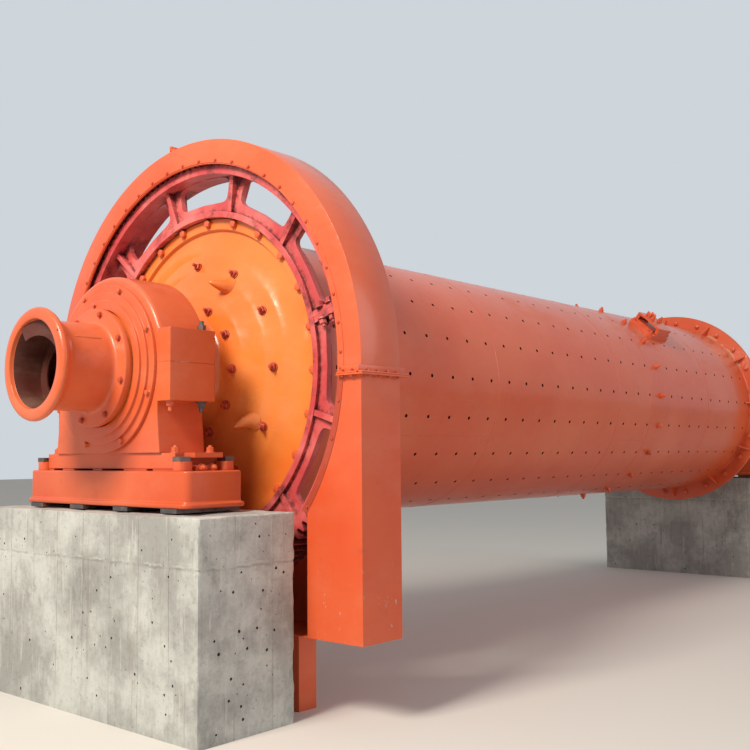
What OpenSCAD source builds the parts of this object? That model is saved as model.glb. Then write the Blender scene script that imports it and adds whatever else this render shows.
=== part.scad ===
// Tube ball mill on two concrete piers, in millimetres.
// +X runs along the mill's axis from the geared end, -Y is the side seen, +Z is up.
// The origin lies on the ground, midway between the two ends.
// Each end is drawn once, as seen from outside, and the far end mirrors it.

/* [Shell] */
// Outside radius of the drum's shell
shell_r = 1000; // [950:10:1050]
// Length of the shell between the outer faces of its end flanges
shell_len = 7400; // [7000:100:8500]
// Thickness of the rolled shell plate
shell_t = 20; // [16:1:30]
// Outside radius of the welded end flanges
flange_r = 1150; // [1140:1:1180]
// Thickness of the welded end flanges
flange_t = 40; // [30:2:50]
// Number of triangular gussets behind each end flange
gusset_count = 12; // [8:2:16]
// Length of a gusset along the shell
gusset_len = 120; // [80:5:150]
// Thickness of a gusset plate
gusset_t = 14; // [10:1:20]
// Direction of the first gusset above the horizontal
gusset_angle = 1; // [0:1:29]
// Distance of a gusset's top below the flange's edge
gusset_set = 40; // [20:5:60]
// Height of a gusset's blunt nose
gusset_nose = 8; // [6:1:12]
// Height of the mill's axis above the ground
axis_h = 2100; // [2000:10:2200]

/* [Liner bolt holes] */
// Radius of a liner bolt hole
liner_hole_r = 14; // [10:1:18]
// Spacing of the holes along a row
liner_pitch = 250; // [230:5:270]
// Number of holes in the one row that is drilled here
liner_holes = 12; // [4:1:12]
// Place of the row's first drilled hole along the axis
liner_first_x = -1750; // [-2000:250:-1500]
// Direction of that row, above the horizontal on the side seen
liner_row_angle = 0.6; // [0:0.2:8]

/* [Manhole] */
// Distance of the manhole's centre from the far end of the shell
manhole_from_end = 1996; // [1800:4:2400]
// Direction of the manhole above the horizontal
manhole_angle = 48; // [40:1:60]
// Length of the manhole frame along the shell
manhole_len = 430; // [400:10:640]
// Width of the manhole frame round the shell
manhole_w = 330; // [320:10:480]
// Height of the frame's top face above the shell
manhole_h = 46; // [40:2:60]
// Width of the frame's rim
manhole_rim = 60; // [50:5:70]
// Thickness of the manhole cover
cover_t = 22; // [16:1:28]
// Clear height between cover and bridge
bridge_gap = 40; // [30:2:50]
// Thickness of the bridge that holds the cover down
bridge_t = 24; // [18:1:30]
// Length of the bridge along the shell
bridge_len = 290; // [260:10:420]

/* [Heads and trunnions] */
// Radius of the head's bolted rim
head_r = 1092; // [1085:1:1100]
// Thickness of the head's bolted rim
head_rim_t = 60; // [50:2:70]
// Outer radius of the conical disc inside the rim
disc_r = 1003; // [990:1:1020]
// Height of the disc's outer edge above the flange face
disc_edge_z = 35; // [25:1:45]
// Height of the disc where it meets the trunnion
disc_hub_z = 225; // [205:5:240]
// Thickness of the cast disc
disc_t = 70; // [50:5:90]
// Radius of the trunnion journal
journal_r = 360; // [340:5:380]
// Radius of the fillet between disc and journal
trunnion_fillet_r = 80; // [60:5:90]
// Radius of the passage through the trunnion
passage_r = 250; // [230:5:270]
// Distance of the trunnion's end face from the shell flange
trunnion_end_z = 930; // [925:5:960]
// Radius of the stub lugs on the head
lug_r = 38; // [30:1:45]
// Length that a stub lug stands out of the disc
lug_len = 100; // [90:5:150]
// Radius of a stub lug at its tip
lug_tip_r = 20; // [14:1:26]
// Direction of the first lug above the horizontal
lug_angle = 60; // [50:1:70]
// Length of the head's spigot inside the shell
spigot_len = 30; // [20:2:40]
// Radius of the circle on which the lugs stand
lug_circle_r = 660; // [600:5:700]

/* [Snouts] */
// Radius of the snout's tube
snout_r = 272; // [268:2:290]
// Radius of the snout's straight bore
snout_bore_r = 245; // [235:1:250]
// Thickness of the snout's bolted flange
snout_flange_t = 36; // [30:2:50]
// Outside radius of the snout's bolted flange
snout_flange_r = 370; // [360:2:390]
// Width of the mouth's flared lining beyond the bore
mouth_flare = 23; // [16:1:30]
// Outside radius of the flared mouth
mouth_r = 327; // [320:1:345]
// Distance of the mouth from the shell flange
mouth_z = 1367; // [1320:1:1400]

/* [Girth gear] */
// Module of the gear teeth
gear_module = 20; // [20:1:20]
// Number of teeth, even so that the halves match
gear_teeth = 146; // [144:2:148]
// Width of the toothed face
gear_w = 240; // [200:5:250]
// Distance of the gear's middle plane from the shell flange, outwards
gear_mid_z = 65; // [55:1:75]
// Thickness of the rim under the teeth
gear_rim_t = 60; // [50:1:70]
// Thickness of the web between rim and hub ring
gear_web_t = 40; // [30:2:60]
// Width of the gear's hub ring
hub_ring_w = 42; // [36:1:50]
// Width of the ledge between hub ring and windows
ledge_w = 58; // [50:1:66]
// Height of the hub ring's front face above the shell flange
gear_hub_z = 110; // [95:5:120]
// Number of spokes
spoke_count = 12; // [10:2:14]
// Direction of the first spoke, on the split line
spoke_angle = 15; // [10:1:22]
// Thickness of a spoke's rib
rib_t = 38; // [26:2:44]
// Height of a rib at the rim above the hub ring's front
rib_rise = 30; // [10:5:50]
// Width of a spoke's web at its waist
spoke_w = 150; // [140:5:200]

/* [Gear guard] */
// Outside radius of the guard
guard_r = 1600; // [1595:1:1625]
// Depth of the guard from its rim to the opening
guard_depth = 167; // [160:1:175]
// Width of the guard along the axis
guard_w = 344; // [336:1:350]
// Distance of the guard's front plate from the shell flange
guard_front_z = 230; // [228:1:240]
// Thickness of the guard's plates
guard_t = 8; // [6:1:12]
// Depth of the angle lip round the opening
lip_w = 44; // [36:2:54]
// Thickness of the angle lip
lip_t = 8; // [6:1:10]
// Direction of the joint between the crown's halves
crown_joint_angle = 97; // [92:1:100]
// Angle of the gap between the crown's halves at their joint
joint_gap_angle = 0.04; // [0.02:0.02:0.1]
// Distance that a joint flange is set back from the end of its plates
joint_set = 0.5; // [0.5:0.5:2]
// Height that the joint flanges stand out from the rim
joint_ear = 40; // [35:5:60]
// Height that the side joints' flanges stand out in front and behind
joint_front = 35; // [25:5:45]
// Height of the upright leg of the crown's joint angles
joint_leg = 46; // [40:2:50]
// Distance of the side joints below the mill's axis
joint_drop = 86; // [80:2:92]
// Angle below the axis from which the crown's trough is rolled
joint_under = 5; // [4:1:6]
// Thickness of one joint flange
joint_t = 10; // [8:1:14]
// Distance of the leg's foot below the axis
leg_drop = 1625; // [1600:5:1640]
// Distance of the leg's inner edge from the mill's axis
leg_inner_y = 1160; // [1140:5:1180]
// Distance that the pan's back plate ends below the corners of the legs
pan_set = 6; // [4:1:10]
// Side of the square posts under the guard
post_w = 150; // [120:5:180]
// Distance of the posts from the mill's middle plane
post_y = 912; // [880:2:960]

/* [Bearings] */
// Distance of the housing's inner face from the shell flange
bearing_z0 = 523; // [515:1:530]
// Width of the bearing housing along the axis
bearing_w = 334; // [320:2:340]
// Outside radius of the housing
housing_r = 585; // [575:1:600]
// Radius of the housing's rounded outer edge
housing_round = 28; // [20:1:34]
// Wall of the bearing cap
cap_t = 28; // [22:1:36]
// Outside radius of the bush
bush_r = 430; // [420:2:450]
// Radial clearance between journal and bush
run_gap = 0.08; // [0.02:0.01:0.1]
// Radial clearance between trunnion and end covers
cover_gap = 8; // [6:1:12]
// Outside radius of the end covers
end_cover_r = 530; // [515:1:540]
// Thickness of the end covers
end_cover_t = 22; // [16:1:28]
// Width of one step of an end cover
cover_step = 50; // [30:5:60]
// Half the housing's width across its side lugs
side_lug_y = 659; // [640:1:680]
// Height of a side lug above the axis
side_lug_up = 209; // [195:1:225]
// Depth of a side lug below the axis
side_lug_down = 225; // [210:1:240]
// Height of the split between cap and base above the axis
split_z = 5; // [0:1:20]

/* [Bearing base and sole] */
// Half the pedestal's width at its waist
waist_y = 537; // [520:1:550]
// Depth of the waist below the axis
waist_drop = 305; // [280:5:330]
// Half the pedestal's width at its foot
pedestal_y = 561; // [550:1:590]
// Distance of the pedestal's foot below the axis
foot_drop = 627; // [620:1:635]
// Thickness of the foot plate
foot_t = 94; // [86:1:100]
// Half the foot's length across the mill
foot_y = 692; // [680:1:705]
// Distance that the foot's ears reach past it
ear_len = 98; // [90:1:105]
// Thickness of an ear
ear_t = 30; // [24:1:34]
// Width of an ear along the axis
ear_w = 210; // [180:5:220]
// Distance that the foot's outer face is set back from the housing's
foot_set = 15; // [10:1:25]
// Distance that the foot plate reaches inwards past the housing
foot_reach = 24; // [10:1:40]
// Height of the shims between base and sole plate
foot_shim = 12; // [8:1:16]
// Height of the sole plate
sole_h = 214; // [200:1:230]
// Half the sole plate's length across the mill
sole_y = 853; // [840:1:880]
// Width of the sole plate along the axis at its top
sole_w = 428; // [415:1:440]
// Spread of the sole plate's bottom flare
sole_flare = 22; // [14:1:30]
// Radius of the sole plate's cast corners
sole_corner_r = 45; // [30:5:60]
// Height of the pads at the foot's ends
pad_h = 55; // [45:1:60]
// Half the length of a pad along the axis
pad_half = 48; // [40:1:52]
// Distance of a pad's centre from the foot's middle plane
pad_out = 155; // [145:5:160]
// Height of the steel block on a pad
jack_h = 28; // [20:1:34]
// Width of a packing plate
packing_w = 150; // [120:5:180]
// Distance of the outer packing plates from the sole plate's ends
packing_edge = 60; // [40:5:80]
// Thickness of the packing plates on the pier
packing_t = 26; // [18:1:32]

/* [Piers] */
// Half the pier's width across the mill
pier_y = 1140; // [1120:5:1180]
// Thickness of the pier along the axis
pier_w = 716; // [700:2:740]
// Distance of the pier's inner face from the shell flange
pier_z0 = 311; // [300:1:320]

/* [Hidden] */
$fn = 96;

ENAMEL = [0.86, 0.36, 0.2];
CRIMSON = [0.7, 0.15, 0.2];
CONCRETE = [0.62, 0.62, 0.6];
STEEL = [0.45, 0.45, 0.46];
BRONZE = [0.72, 0.5, 0.25];

eps = 1;
half_len = shell_len / 2;
shell_bore_r = shell_r - shell_t;
frame_top_r = shell_r + manhole_h;

// Girth gear sizes that follow from the module
gear_pitch_r = gear_module * gear_teeth / 2;
gear_tip_r = gear_pitch_r + gear_module;
gear_root_r = gear_pitch_r - 1.25 * gear_module;
gear_rim_r = gear_root_r - gear_rim_t;
gear_bore_r = head_r + 1;
gear_hub_r = gear_bore_r + hub_ring_w;
window_r = gear_hub_r + ledge_w;
gear_z0 = gear_mid_z - gear_w / 2;

// Spans of the shims under a foot, as pairs across the mill from the side seen
foot_shim_spans = [[-1, -0.68], [-0.59, -0.25], [0.09, 0.24], [0.56, 0.75], [0.91, 1]];

// Opening of the gear guard
guard_open_r = guard_r - guard_depth;
// Height of the guard's back plate between the legs
pan_h = leg_drop - sqrt(pow(guard_open_r, 2) - pow(leg_inner_y, 2)) - pan_set;

// Levels of the stack under each bearing
foot_z = axis_h - foot_drop;
sole_top = foot_z - foot_shim;
sole_bottom = sole_top - sole_h;
pier_top = sole_bottom - packing_t;
foot_w = bearing_w + foot_reach - foot_set;
foot_mid_z = bearing_z0 - foot_reach + foot_w / 2;
sole_mid_z = foot_mid_z;

// Places the children at a distance outwards from the near shell flange,
// with their X towards -Y, their Y up and their Z outwards along the axis
module near_end(z = 0) {
    translate([-half_len - z, 0, axis_h])
        rotate([90, 0, -90])
            children();
}

// Mirrors the near end's pieces to the far end
module far_end() {
    mirror([1, 0, 0])
        children();
}

// Revolves a profile of [radius, distance outwards] pairs round the mill's axis
module revolve(points, from = 0, sweep = 360) {
    rotate([0, 0, from])
        rotate_extrude(angle = sweep)
            polygon(points);
}

// Box given by its lowest and highest corners
module block(low, high) {
    translate(low)
        cube(high - low);
}

// Row of copies turned round the axis
module ring_of(count, from = 0) {
    for (i = [0 : count - 1])
        rotate([0, 0, from + i * 360 / count])
            children();
}

module pier() {
    block([-half_len - pier_z0 - pier_w, -pier_y, 0], [-half_len - pier_z0, pier_y, pier_top]);
}

module near_pier() {
    color(CONCRETE) pier();
}

module far_pier() {
    color(CONCRETE) far_end() pier();
}

// Packing plates that level the sole plate on the pier
module packing() {
    outer = sole_y - packing_edge - packing_w / 2;
    for (mid = [-outer, -outer / 3, outer / 3, outer])
        block([-half_len - sole_mid_z - sole_w / 2 - sole_flare, mid - packing_w / 2, pier_top],
            [-half_len - sole_mid_z + sole_w / 2 + sole_flare, mid + packing_w / 2, sole_bottom]);
}

module near_packing() {
    color(STEEL) packing();
}

module far_packing() {
    color(STEEL) far_end() packing();
}

// Outline of a rectangle with round corners, as a polygon
function round_rect(half_x, half_y, r, steps = 6) = [
    for (corner = [[1, 1, 0], [-1, 1, 90], [-1, -1, 180], [1, -1, 270]])
        for (i = [0 : steps])
            [corner[0] * (half_x - r) + r * cos(corner[2] + 90 * i / steps),
                corner[1] * (half_y - r) + r * sin(corner[2] + 90 * i / steps)]
];

// Cast sole plate with a flared bottom edge
module sole_plate() {
    flare_h = 30;
    translate([-half_len - sole_mid_z, 0, sole_bottom]) {
        linear_extrude(sole_h)
            polygon(round_rect(sole_w / 2, sole_y, sole_corner_r));
        linear_extrude(flare_h)
            polygon(round_rect(sole_w / 2 + sole_flare, sole_y + sole_flare, sole_corner_r + sole_flare));
    }
}

module near_sole_plate() {
    color(ENAMEL) sole_plate();
}

module far_sole_plate() {
    color(ENAMEL) far_end() sole_plate();
}

// Section of the round housing, as [radius, distance outwards] pairs, with its outer edge rounded
function housing_section() = concat(
    [[0, 0], [housing_r, 0]],
    [for (i = [0 : 4]) let (a = 90 * i / 4)
        [housing_r - housing_round * (1 - cos(a)), bearing_w - housing_round * (1 - sin(a))]],
    [[0, bearing_w]]
);

// Front outline of the pedestal between split and foot, about the mill's axis
function pedestal_outline() = [
    [waist_y, split_z], [waist_y, -waist_drop], [pedestal_y, -foot_drop + foot_t + eps],
    [-pedestal_y, -foot_drop + foot_t + eps], [-waist_y, -waist_drop], [-waist_y, split_z]
];

// Foot of the pedestal with the ear at each end
module bearing_foot() {
    near_end(bearing_z0 - foot_reach)
        block([-foot_y, -foot_drop, 0], [foot_y, -foot_drop + foot_t, foot_w]);
    near_end(foot_mid_z - ear_w / 2)
        block([-foot_y - ear_len, -foot_drop + foot_t - ear_t, 0], [foot_y + ear_len, -foot_drop + foot_t, ear_w]);
}

// Cast base of the bearing, open above for the bush
module bearing_base() {
    bearing_foot();
    near_end(bearing_z0)
        difference() {
            union() {
                revolve(housing_section());
                linear_extrude(bearing_w)
                    polygon(pedestal_outline());
                block([-side_lug_y, -side_lug_down, 0], [side_lug_y, split_z, bearing_w]);
            }
            translate([0, 0, -eps])
                cylinder(r = bush_r, h = bearing_w + 2 * eps);
            block([-side_lug_y - eps, split_z, -eps], [side_lug_y + eps, housing_r + eps, bearing_w + eps]);
            block([-side_lug_y, -housing_r - eps, -eps], [side_lug_y, -foot_drop + foot_t, bearing_w + eps]);
        }
}

module near_bearing_base() {
    color(ENAMEL) bearing_base();
}

module far_bearing_base() {
    color(ENAMEL) far_end() bearing_base();
}

// Lower half bush that carries the journal
module bush() {
    bore = journal_r + run_gap;
    near_end(bearing_z0)
        difference() {
            cylinder(r = bush_r, h = bearing_w);
            translate([0, 0, -eps])
                cylinder(r = bore, h = bearing_w + 2 * eps);
            block([-bush_r - eps, 0, -eps], [bush_r + eps, bush_r + eps, bearing_w + eps]);
        }
}

module near_bush() {
    color(BRONZE) bush();
}

module far_bush() {
    color(BRONZE) far_end() bush();
}

// Cap of the bearing, hollow over the journal, with a bolting lug at each side
module bearing_cap() {
    bore = journal_r + cover_gap;
    near_end(bearing_z0)
        difference() {
            union() {
                revolve(housing_section());
                for (side = [-1, 1])
                    block([side > 0 ? waist_y : -side_lug_y, split_z, 0],
                        [side > 0 ? side_lug_y : -waist_y, side_lug_up, bearing_w]);
            }
            translate([0, 0, -eps])
                cylinder(r = bush_r + 20, h = bearing_w + 2 * eps);
            translate([0, 0, cap_t])
                cylinder(r = housing_r - cap_t, h = bearing_w - 2 * cap_t);
            block([-side_lug_y - eps, -housing_r - eps, -eps], [side_lug_y + eps, split_z, bearing_w + eps]);
        }
}

module near_bearing_cap() {
    color(ENAMEL) bearing_cap();
}

module far_bearing_cap() {
    color(ENAMEL) far_end() bearing_cap();
}

// Stepped annular cover on a face of the housing
module end_cover() {
    bore = journal_r + cover_gap;
    revolve([[bore, 0], [end_cover_r, 0], [end_cover_r, end_cover_t], [end_cover_r - cover_step, end_cover_t],
        [end_cover_r - cover_step, 1.8 * end_cover_t], [end_cover_r - 2 * cover_step, 1.8 * end_cover_t],
        [end_cover_r - 2 * cover_step, 2.6 * end_cover_t], [bore, 2.6 * end_cover_t]]);
}

module outer_cover() {
    near_end(bearing_z0 + bearing_w)
        end_cover();
}

module inner_cover() {
    near_end(bearing_z0)
        mirror([0, 0, 1])
            end_cover();
}

module near_outer_cover() {
    color(ENAMEL) outer_cover();
}

module far_outer_cover() {
    color(ENAMEL) far_end() outer_cover();
}

module near_inner_cover() {
    color(ENAMEL) inner_cover();
}

module far_inner_cover() {
    color(ENAMEL) far_end() inner_cover();
}

// Round-ended pads on the sole plate beside the foot, with a steel block on each, a stop
// between them, and the shims under the foot
module foot_clamps() {
    pad_y = foot_y + ear_len / 2 + 2;
    pad_reach = ear_len / 2;
    jack_half = pad_half - 14;
    stop_half = ear_w / 2 - 25;
    for (side = [-1, 1], along = [-1, 1])
        translate([-half_len - foot_mid_z + along * pad_out, side * pad_y, sole_top]) {
            linear_extrude(pad_h)
                polygon(round_rect(pad_half, pad_reach, 0.7 * pad_half));
            block([along * 10 - jack_half, -0.8 * pad_reach, pad_h - eps],
                [along * 10 + jack_half, 0.8 * pad_reach, pad_h + jack_h]);
        }
    for (side = [-1, 1])
        translate([-half_len - foot_mid_z, side * pad_y, sole_top])
            block([-stop_half, -0.5 * pad_reach, 0], [stop_half, 0.5 * pad_reach, 0.6 * pad_h]);
    for (span = foot_shim_spans)
        block([-half_len - foot_mid_z - foot_w / 2 + 4, span[0] * foot_y, sole_top],
            [-half_len - foot_mid_z + foot_w / 2 - 4, span[1] * foot_y, foot_z]);
}

module near_foot_clamps() {
    color(ENAMEL) foot_clamps();
}

module far_foot_clamps() {
    color(ENAMEL) far_end() foot_clamps();
}

// Section of the guard's trough, as [radius, distance outwards] pairs from its back plate
function trough_section() = [
    [guard_open_r, 0], [guard_r, 0], [guard_r, guard_w], [guard_open_r, guard_w],
    [guard_open_r, guard_w - lip_t - guard_t], [guard_open_r + lip_w, guard_w - lip_t - guard_t],
    [guard_open_r + lip_w, guard_w - guard_t], [guard_r - guard_t, guard_w - guard_t],
    [guard_r - guard_t, guard_t], [guard_open_r + lip_w, guard_t],
    [guard_open_r + lip_w, guard_t + lip_t], [guard_open_r, guard_t + lip_t]
];

// Flange of the crown's top joint, welded outside its rim beside the radial plane at angle zero
module top_flange() {
    block([guard_r - guard_t / 2, joint_set, 0], [guard_r + joint_ear, joint_t, guard_w]);
}

// Hollow of the guard's trough, as far as a joint flange reaches
module trough_hollow(height) {
    block([0, 0, guard_t / 2], [guard_r - guard_t / 2, height, guard_w - guard_t / 2]);
}

// Flange of a side joint, round the outside of the trough above the level plane at zero
module side_flange() {
    difference() {
        block([guard_open_r, joint_set, -joint_front], [guard_r + joint_ear, joint_t, guard_w + joint_front]);
        trough_hollow(joint_t + eps);
    }
}

// Upright leg of the crown's joint angle, against the outside of the trough
module side_angle() {
    difference() {
        block([guard_open_r, joint_set, -joint_t], [guard_r + joint_t, joint_leg, guard_w + joint_t]);
        trough_hollow(joint_leg + eps);
    }
    block([guard_r - guard_t / 2, joint_set, -joint_front],
        [guard_r + joint_t, joint_leg, guard_w + joint_front]);
}

// Half of the guard's crown from its side joint up to a direction on the side seen
module crown_half(to) {
    near_end(guard_front_z - guard_w) {
        difference() {
            revolve(trough_section(), -joint_under, to + joint_under);
            block([0, -guard_r, -eps], [guard_r + eps, -joint_drop, guard_w + eps]);
        }
        translate([0, -joint_drop, 0]) {
            side_flange();
            side_angle();
        }
        rotate([0, 0, to])
            mirror([0, 1, 0])
                top_flange();
    }
}

module guard_crown_right() {
    color(ENAMEL) crown_half(crown_joint_angle - joint_gap_angle);
}

module guard_crown_left() {
    color(ENAMEL) mirror([0, 1, 0]) crown_half(180 - crown_joint_angle);
}

// Outline of a leg's side plate, on the side seen
module leg_plate() {
    difference() {
        translate([leg_inner_y, -leg_drop])
            square([guard_r - leg_inner_y, leg_drop - joint_drop]);
        circle(r = guard_open_r);
    }
}

// Straight lower section of the guard below its side joint
module leg() {
    near_end(guard_front_z - guard_w) {
        linear_extrude(guard_t)
            leg_plate();
        translate([0, 0, guard_w - guard_t])
            linear_extrude(guard_t)
                leg_plate();
        block([guard_r - guard_t, -leg_drop, 0], [guard_r, -joint_drop, guard_w]);
        block([leg_inner_y, -leg_drop, 0], [guard_r, -leg_drop + guard_t, guard_w]);
        translate([0, -joint_drop, 0])
            mirror([0, 1, 0])
                side_flange();
    }
}

module guard_leg_right() {
    color(ENAMEL) leg();
}

module guard_leg_left() {
    color(ENAMEL) mirror([0, 1, 0]) leg();
}

// Floor and back plate of the guard under the gear, between the legs
module guard_pan() {
    color(ENAMEL)
        near_end(guard_front_z - guard_w) {
            block([-leg_inner_y, -leg_drop, 0], [leg_inner_y, -leg_drop + guard_t, guard_w]);
            linear_extrude(guard_t)
                difference() {
                    translate([-leg_inner_y, -leg_drop])
                        square([2 * leg_inner_y, pan_h]);
                    circle(r = guard_open_r);
                }
        }
}

// Square posts that carry the guard, from the ground up
module guard_posts() {
    mid_x = -half_len - guard_front_z + guard_w / 2;
    color(ENAMEL)
        for (side = [-1, 1])
            block([mid_x - post_w / 2, side * post_y - post_w / 2, 0],
                [mid_x + post_w / 2, side * post_y + post_w / 2, axis_h - leg_drop]);
}

// End flange welded round the shell's near end, with its gussets
module end_flange() {
    nose_z = gusset_len / 6;
    near_end(-flange_t)
        difference() {
            cylinder(r = flange_r, h = flange_t);
            translate([0, 0, -eps])
                cylinder(r = shell_r, h = flange_t + 2 * eps);
        }
    near_end(-flange_t - gusset_len)
        ring_of(gusset_count, gusset_angle)
            rotate([90, 0, 0])
                translate([0, 0, -gusset_t / 2])
                    linear_extrude(gusset_t)
                        polygon([[shell_r + 0.5, 0], [shell_r + gusset_nose, 0],
                            [flange_r - gusset_set, gusset_len - nose_z],
                            [flange_r - gusset_set, gusset_len + eps], [shell_r + 0.5, gusset_len + eps]]);
}

module near_flange() {
    color(ENAMEL) end_flange();
}

module far_flange() {
    color(ENAMEL) far_end() end_flange();
}

// Place of the manhole on the shell, with X along the axis and Z outwards
module at_manhole() {
    translate([half_len - manhole_from_end, 0, axis_h])
        rotate([90 - manhole_angle, 0, 0])
            children();
}

module shell() {
    color(ENAMEL)
        difference() {
            near_end(-shell_len)
                cylinder(r = shell_r, h = shell_len);
            near_end(-shell_len - eps)
                cylinder(r = shell_bore_r, h = shell_len + 2 * eps);
            for (i = [0 : liner_holes - 1])
                translate([liner_first_x + i * liner_pitch, 0, axis_h])
                    rotate([90 - liner_row_angle, 0, 0])
                        translate([0, 0, shell_bore_r - 40])
                            cylinder(r = liner_hole_r, h = shell_t + 80, $fn = 24);
            at_manhole()
                block([-manhole_len / 2 + manhole_rim, -manhole_w / 2 + manhole_rim, 0],
                    [manhole_len / 2 - manhole_rim, manhole_w / 2 - manhole_rim, shell_r + eps]);
        }
}

// Plate curved about the mill's axis between two radii, over the manhole
module curved_plate(r0, r1, length, width, corner) {
    intersection() {
        near_end(-shell_len)
            difference() {
                cylinder(r = r1, h = shell_len);
                translate([0, 0, -eps])
                    cylinder(r = r0, h = shell_len + 2 * eps);
            }
        at_manhole()
            linear_extrude(r1 + eps)
                polygon(round_rect(length / 2, width / 2, corner));
    }
}

// Raised frame seated on the shell round the manhole
module manhole_frame() {
    color(ENAMEL)
        difference() {
            curved_plate(shell_r, frame_top_r, manhole_len, manhole_w, 60);
            at_manhole()
                block([-manhole_len / 2 + manhole_rim, -manhole_w / 2 + manhole_rim, 0],
                    [manhole_len / 2 - manhole_rim, manhole_w / 2 - manhole_rim, frame_top_r + eps]);
        }
}

// Curved cover that lies on the frame, between the legs of the bridge
module manhole_cover() {
    color(ENAMEL)
        curved_plate(frame_top_r, frame_top_r + cover_t, manhole_len - 30, manhole_w - 110, 50);
}

// Arched bridge over the cover, with a leg on each side of it
module manhole_clamp() {
    leg_t = 36;
    arch_r = frame_top_r + cover_t + bridge_gap;
    leg_y = manhole_w / 2 - 8;
    color(ENAMEL) {
        curved_plate(arch_r, arch_r + bridge_t, bridge_len, 2 * leg_y, 20);
        difference() {
            at_manhole()
                for (side = [-1, 1])
                    block([-bridge_len / 2 + 20, side > 0 ? leg_y - leg_t : -leg_y, shell_r],
                        [bridge_len / 2 - 20, side > 0 ? leg_y : -leg_y + leg_t, arch_r - 8]);
            near_end(-shell_len - eps)
                cylinder(r = frame_top_r, h = shell_len + 2 * eps);
        }
    }
}

// Section of a head and its trunnion, as [radius, distance outwards] pairs
function head_section() =
    let (hub_r = journal_r + trunnion_fillet_r, back = 0.85 * disc_t)
    concat(
        [[passage_r, disc_hub_z - disc_t - back], [disc_r - 0.6 * disc_t, -spigot_len],
            [shell_bore_r, -spigot_len], [shell_bore_r, 0],
            [head_r, 0], [head_r, head_rim_t], [disc_r + head_rim_t / 4, head_rim_t], [disc_r, disc_edge_z],
            [hub_r, disc_hub_z]],
        [for (i = [1 : 6]) let (a = 90 * i / 6)
            [hub_r - trunnion_fillet_r * sin(a), disc_hub_z + trunnion_fillet_r * (1 - cos(a))]],
        [[journal_r, trunnion_end_z], [passage_r, trunnion_end_z]]
    );

module head() {
    near_end()
        revolve(head_section());
}

module near_head() {
    color(ENAMEL) head();
}

module far_head() {
    color(ENAMEL) far_end() head();
}

// Tapered stub lugs cast on the head
module head_lugs() {
    slope = (disc_hub_z - disc_edge_z) / (disc_r - journal_r - trunnion_fillet_r);
    base_z = disc_edge_z + (disc_r - lug_circle_r) * slope;
    near_end()
        difference() {
            ring_of(4, lug_angle)
                translate([lug_circle_r, 0, base_z - disc_t / 2])
                    cylinder(r1 = lug_r + 0.3 * (lug_r - lug_tip_r), r2 = lug_tip_r, h = lug_len + disc_t / 2);
            revolve(head_section());
        }
}

module near_head_lugs() {
    color(ENAMEL) head_lugs();
}

module far_head_lugs() {
    color(ENAMEL) far_end() head_lugs();
}

// Section of a snout, as [radius, distance outwards] pairs
function snout_section() = let (
    z0 = trunnion_end_z,
    z1 = trunnion_end_z + snout_flange_t,
    z2 = mouth_z,
    lip = mouth_r - snout_bore_r - mouth_flare,
    neck = snout_flange_r - snout_r
) [
    [snout_bore_r, z0], [snout_flange_r, z0], [snout_flange_r, z1 - 6], [snout_flange_r - 6, z1],
    [snout_r + 0.42 * neck, z1 + 5], [snout_r + 0.18 * neck, z1 + 22], [snout_r + 0.05 * neck, z1 + 50],
    [snout_r, z1 + 80], [snout_r, z2 - 2.1 * lip], [snout_r + 0.2 * lip, z2 - 1.4 * lip],
    [mouth_r - 0.25 * lip, z2 - 0.75 * lip], [mouth_r, z2 - 0.5 * lip], [mouth_r, z2 - 0.2 * lip],
    [mouth_r - 0.2 * lip, z2], [mouth_r - 0.8 * lip, z2], [mouth_r - lip, z2 - 0.2 * lip],
    [snout_bore_r, z2 - 1.8 * lip]
];

module snout() {
    near_end()
        revolve(snout_section());
}

module near_snout() {
    color(ENAMEL) snout();
}

module far_snout() {
    color(ENAMEL) far_end() snout();
}

// Points of one gear tooth from root to root, starting at a direction
function tooth(from) = let (step = 360 / gear_teeth) [
    for (p = [[0.14, gear_root_r], [0.3, gear_pitch_r], [0.39, gear_tip_r],
        [0.61, gear_tip_r], [0.7, gear_pitch_r], [0.86, gear_root_r]])
        [p[1] * cos(from + p[0] * step), p[1] * sin(from + p[0] * step)]
];

// Outline of the toothed half disc
function half_gear_outline() = concat(
    [[gear_root_r, 0]],
    [for (i = [0 : gear_teeth / 2 - 1]) each tooth(i * 360 / gear_teeth)],
    [[-gear_root_r, 0]]
);

// Outline of a window in the web, centred on a direction
function window_outline(mid) = let (
    r_mid = (window_r + gear_rim_r) / 2,
    r_half = (gear_rim_r - window_r) / 2,
    a_half = 180 / spoke_count - asin(spoke_w / 2 / r_mid),
    power = 0.4
) [
    for (i = [0 : 23]) let (
        t = i * 15,
        a = mid + a_half * sign(cos(t)) * pow(abs(cos(t)), power),
        r = r_mid + r_half * sign(sin(t)) * pow(abs(sin(t)), power)
    ) [r * cos(a), r * sin(a)]
];

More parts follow.
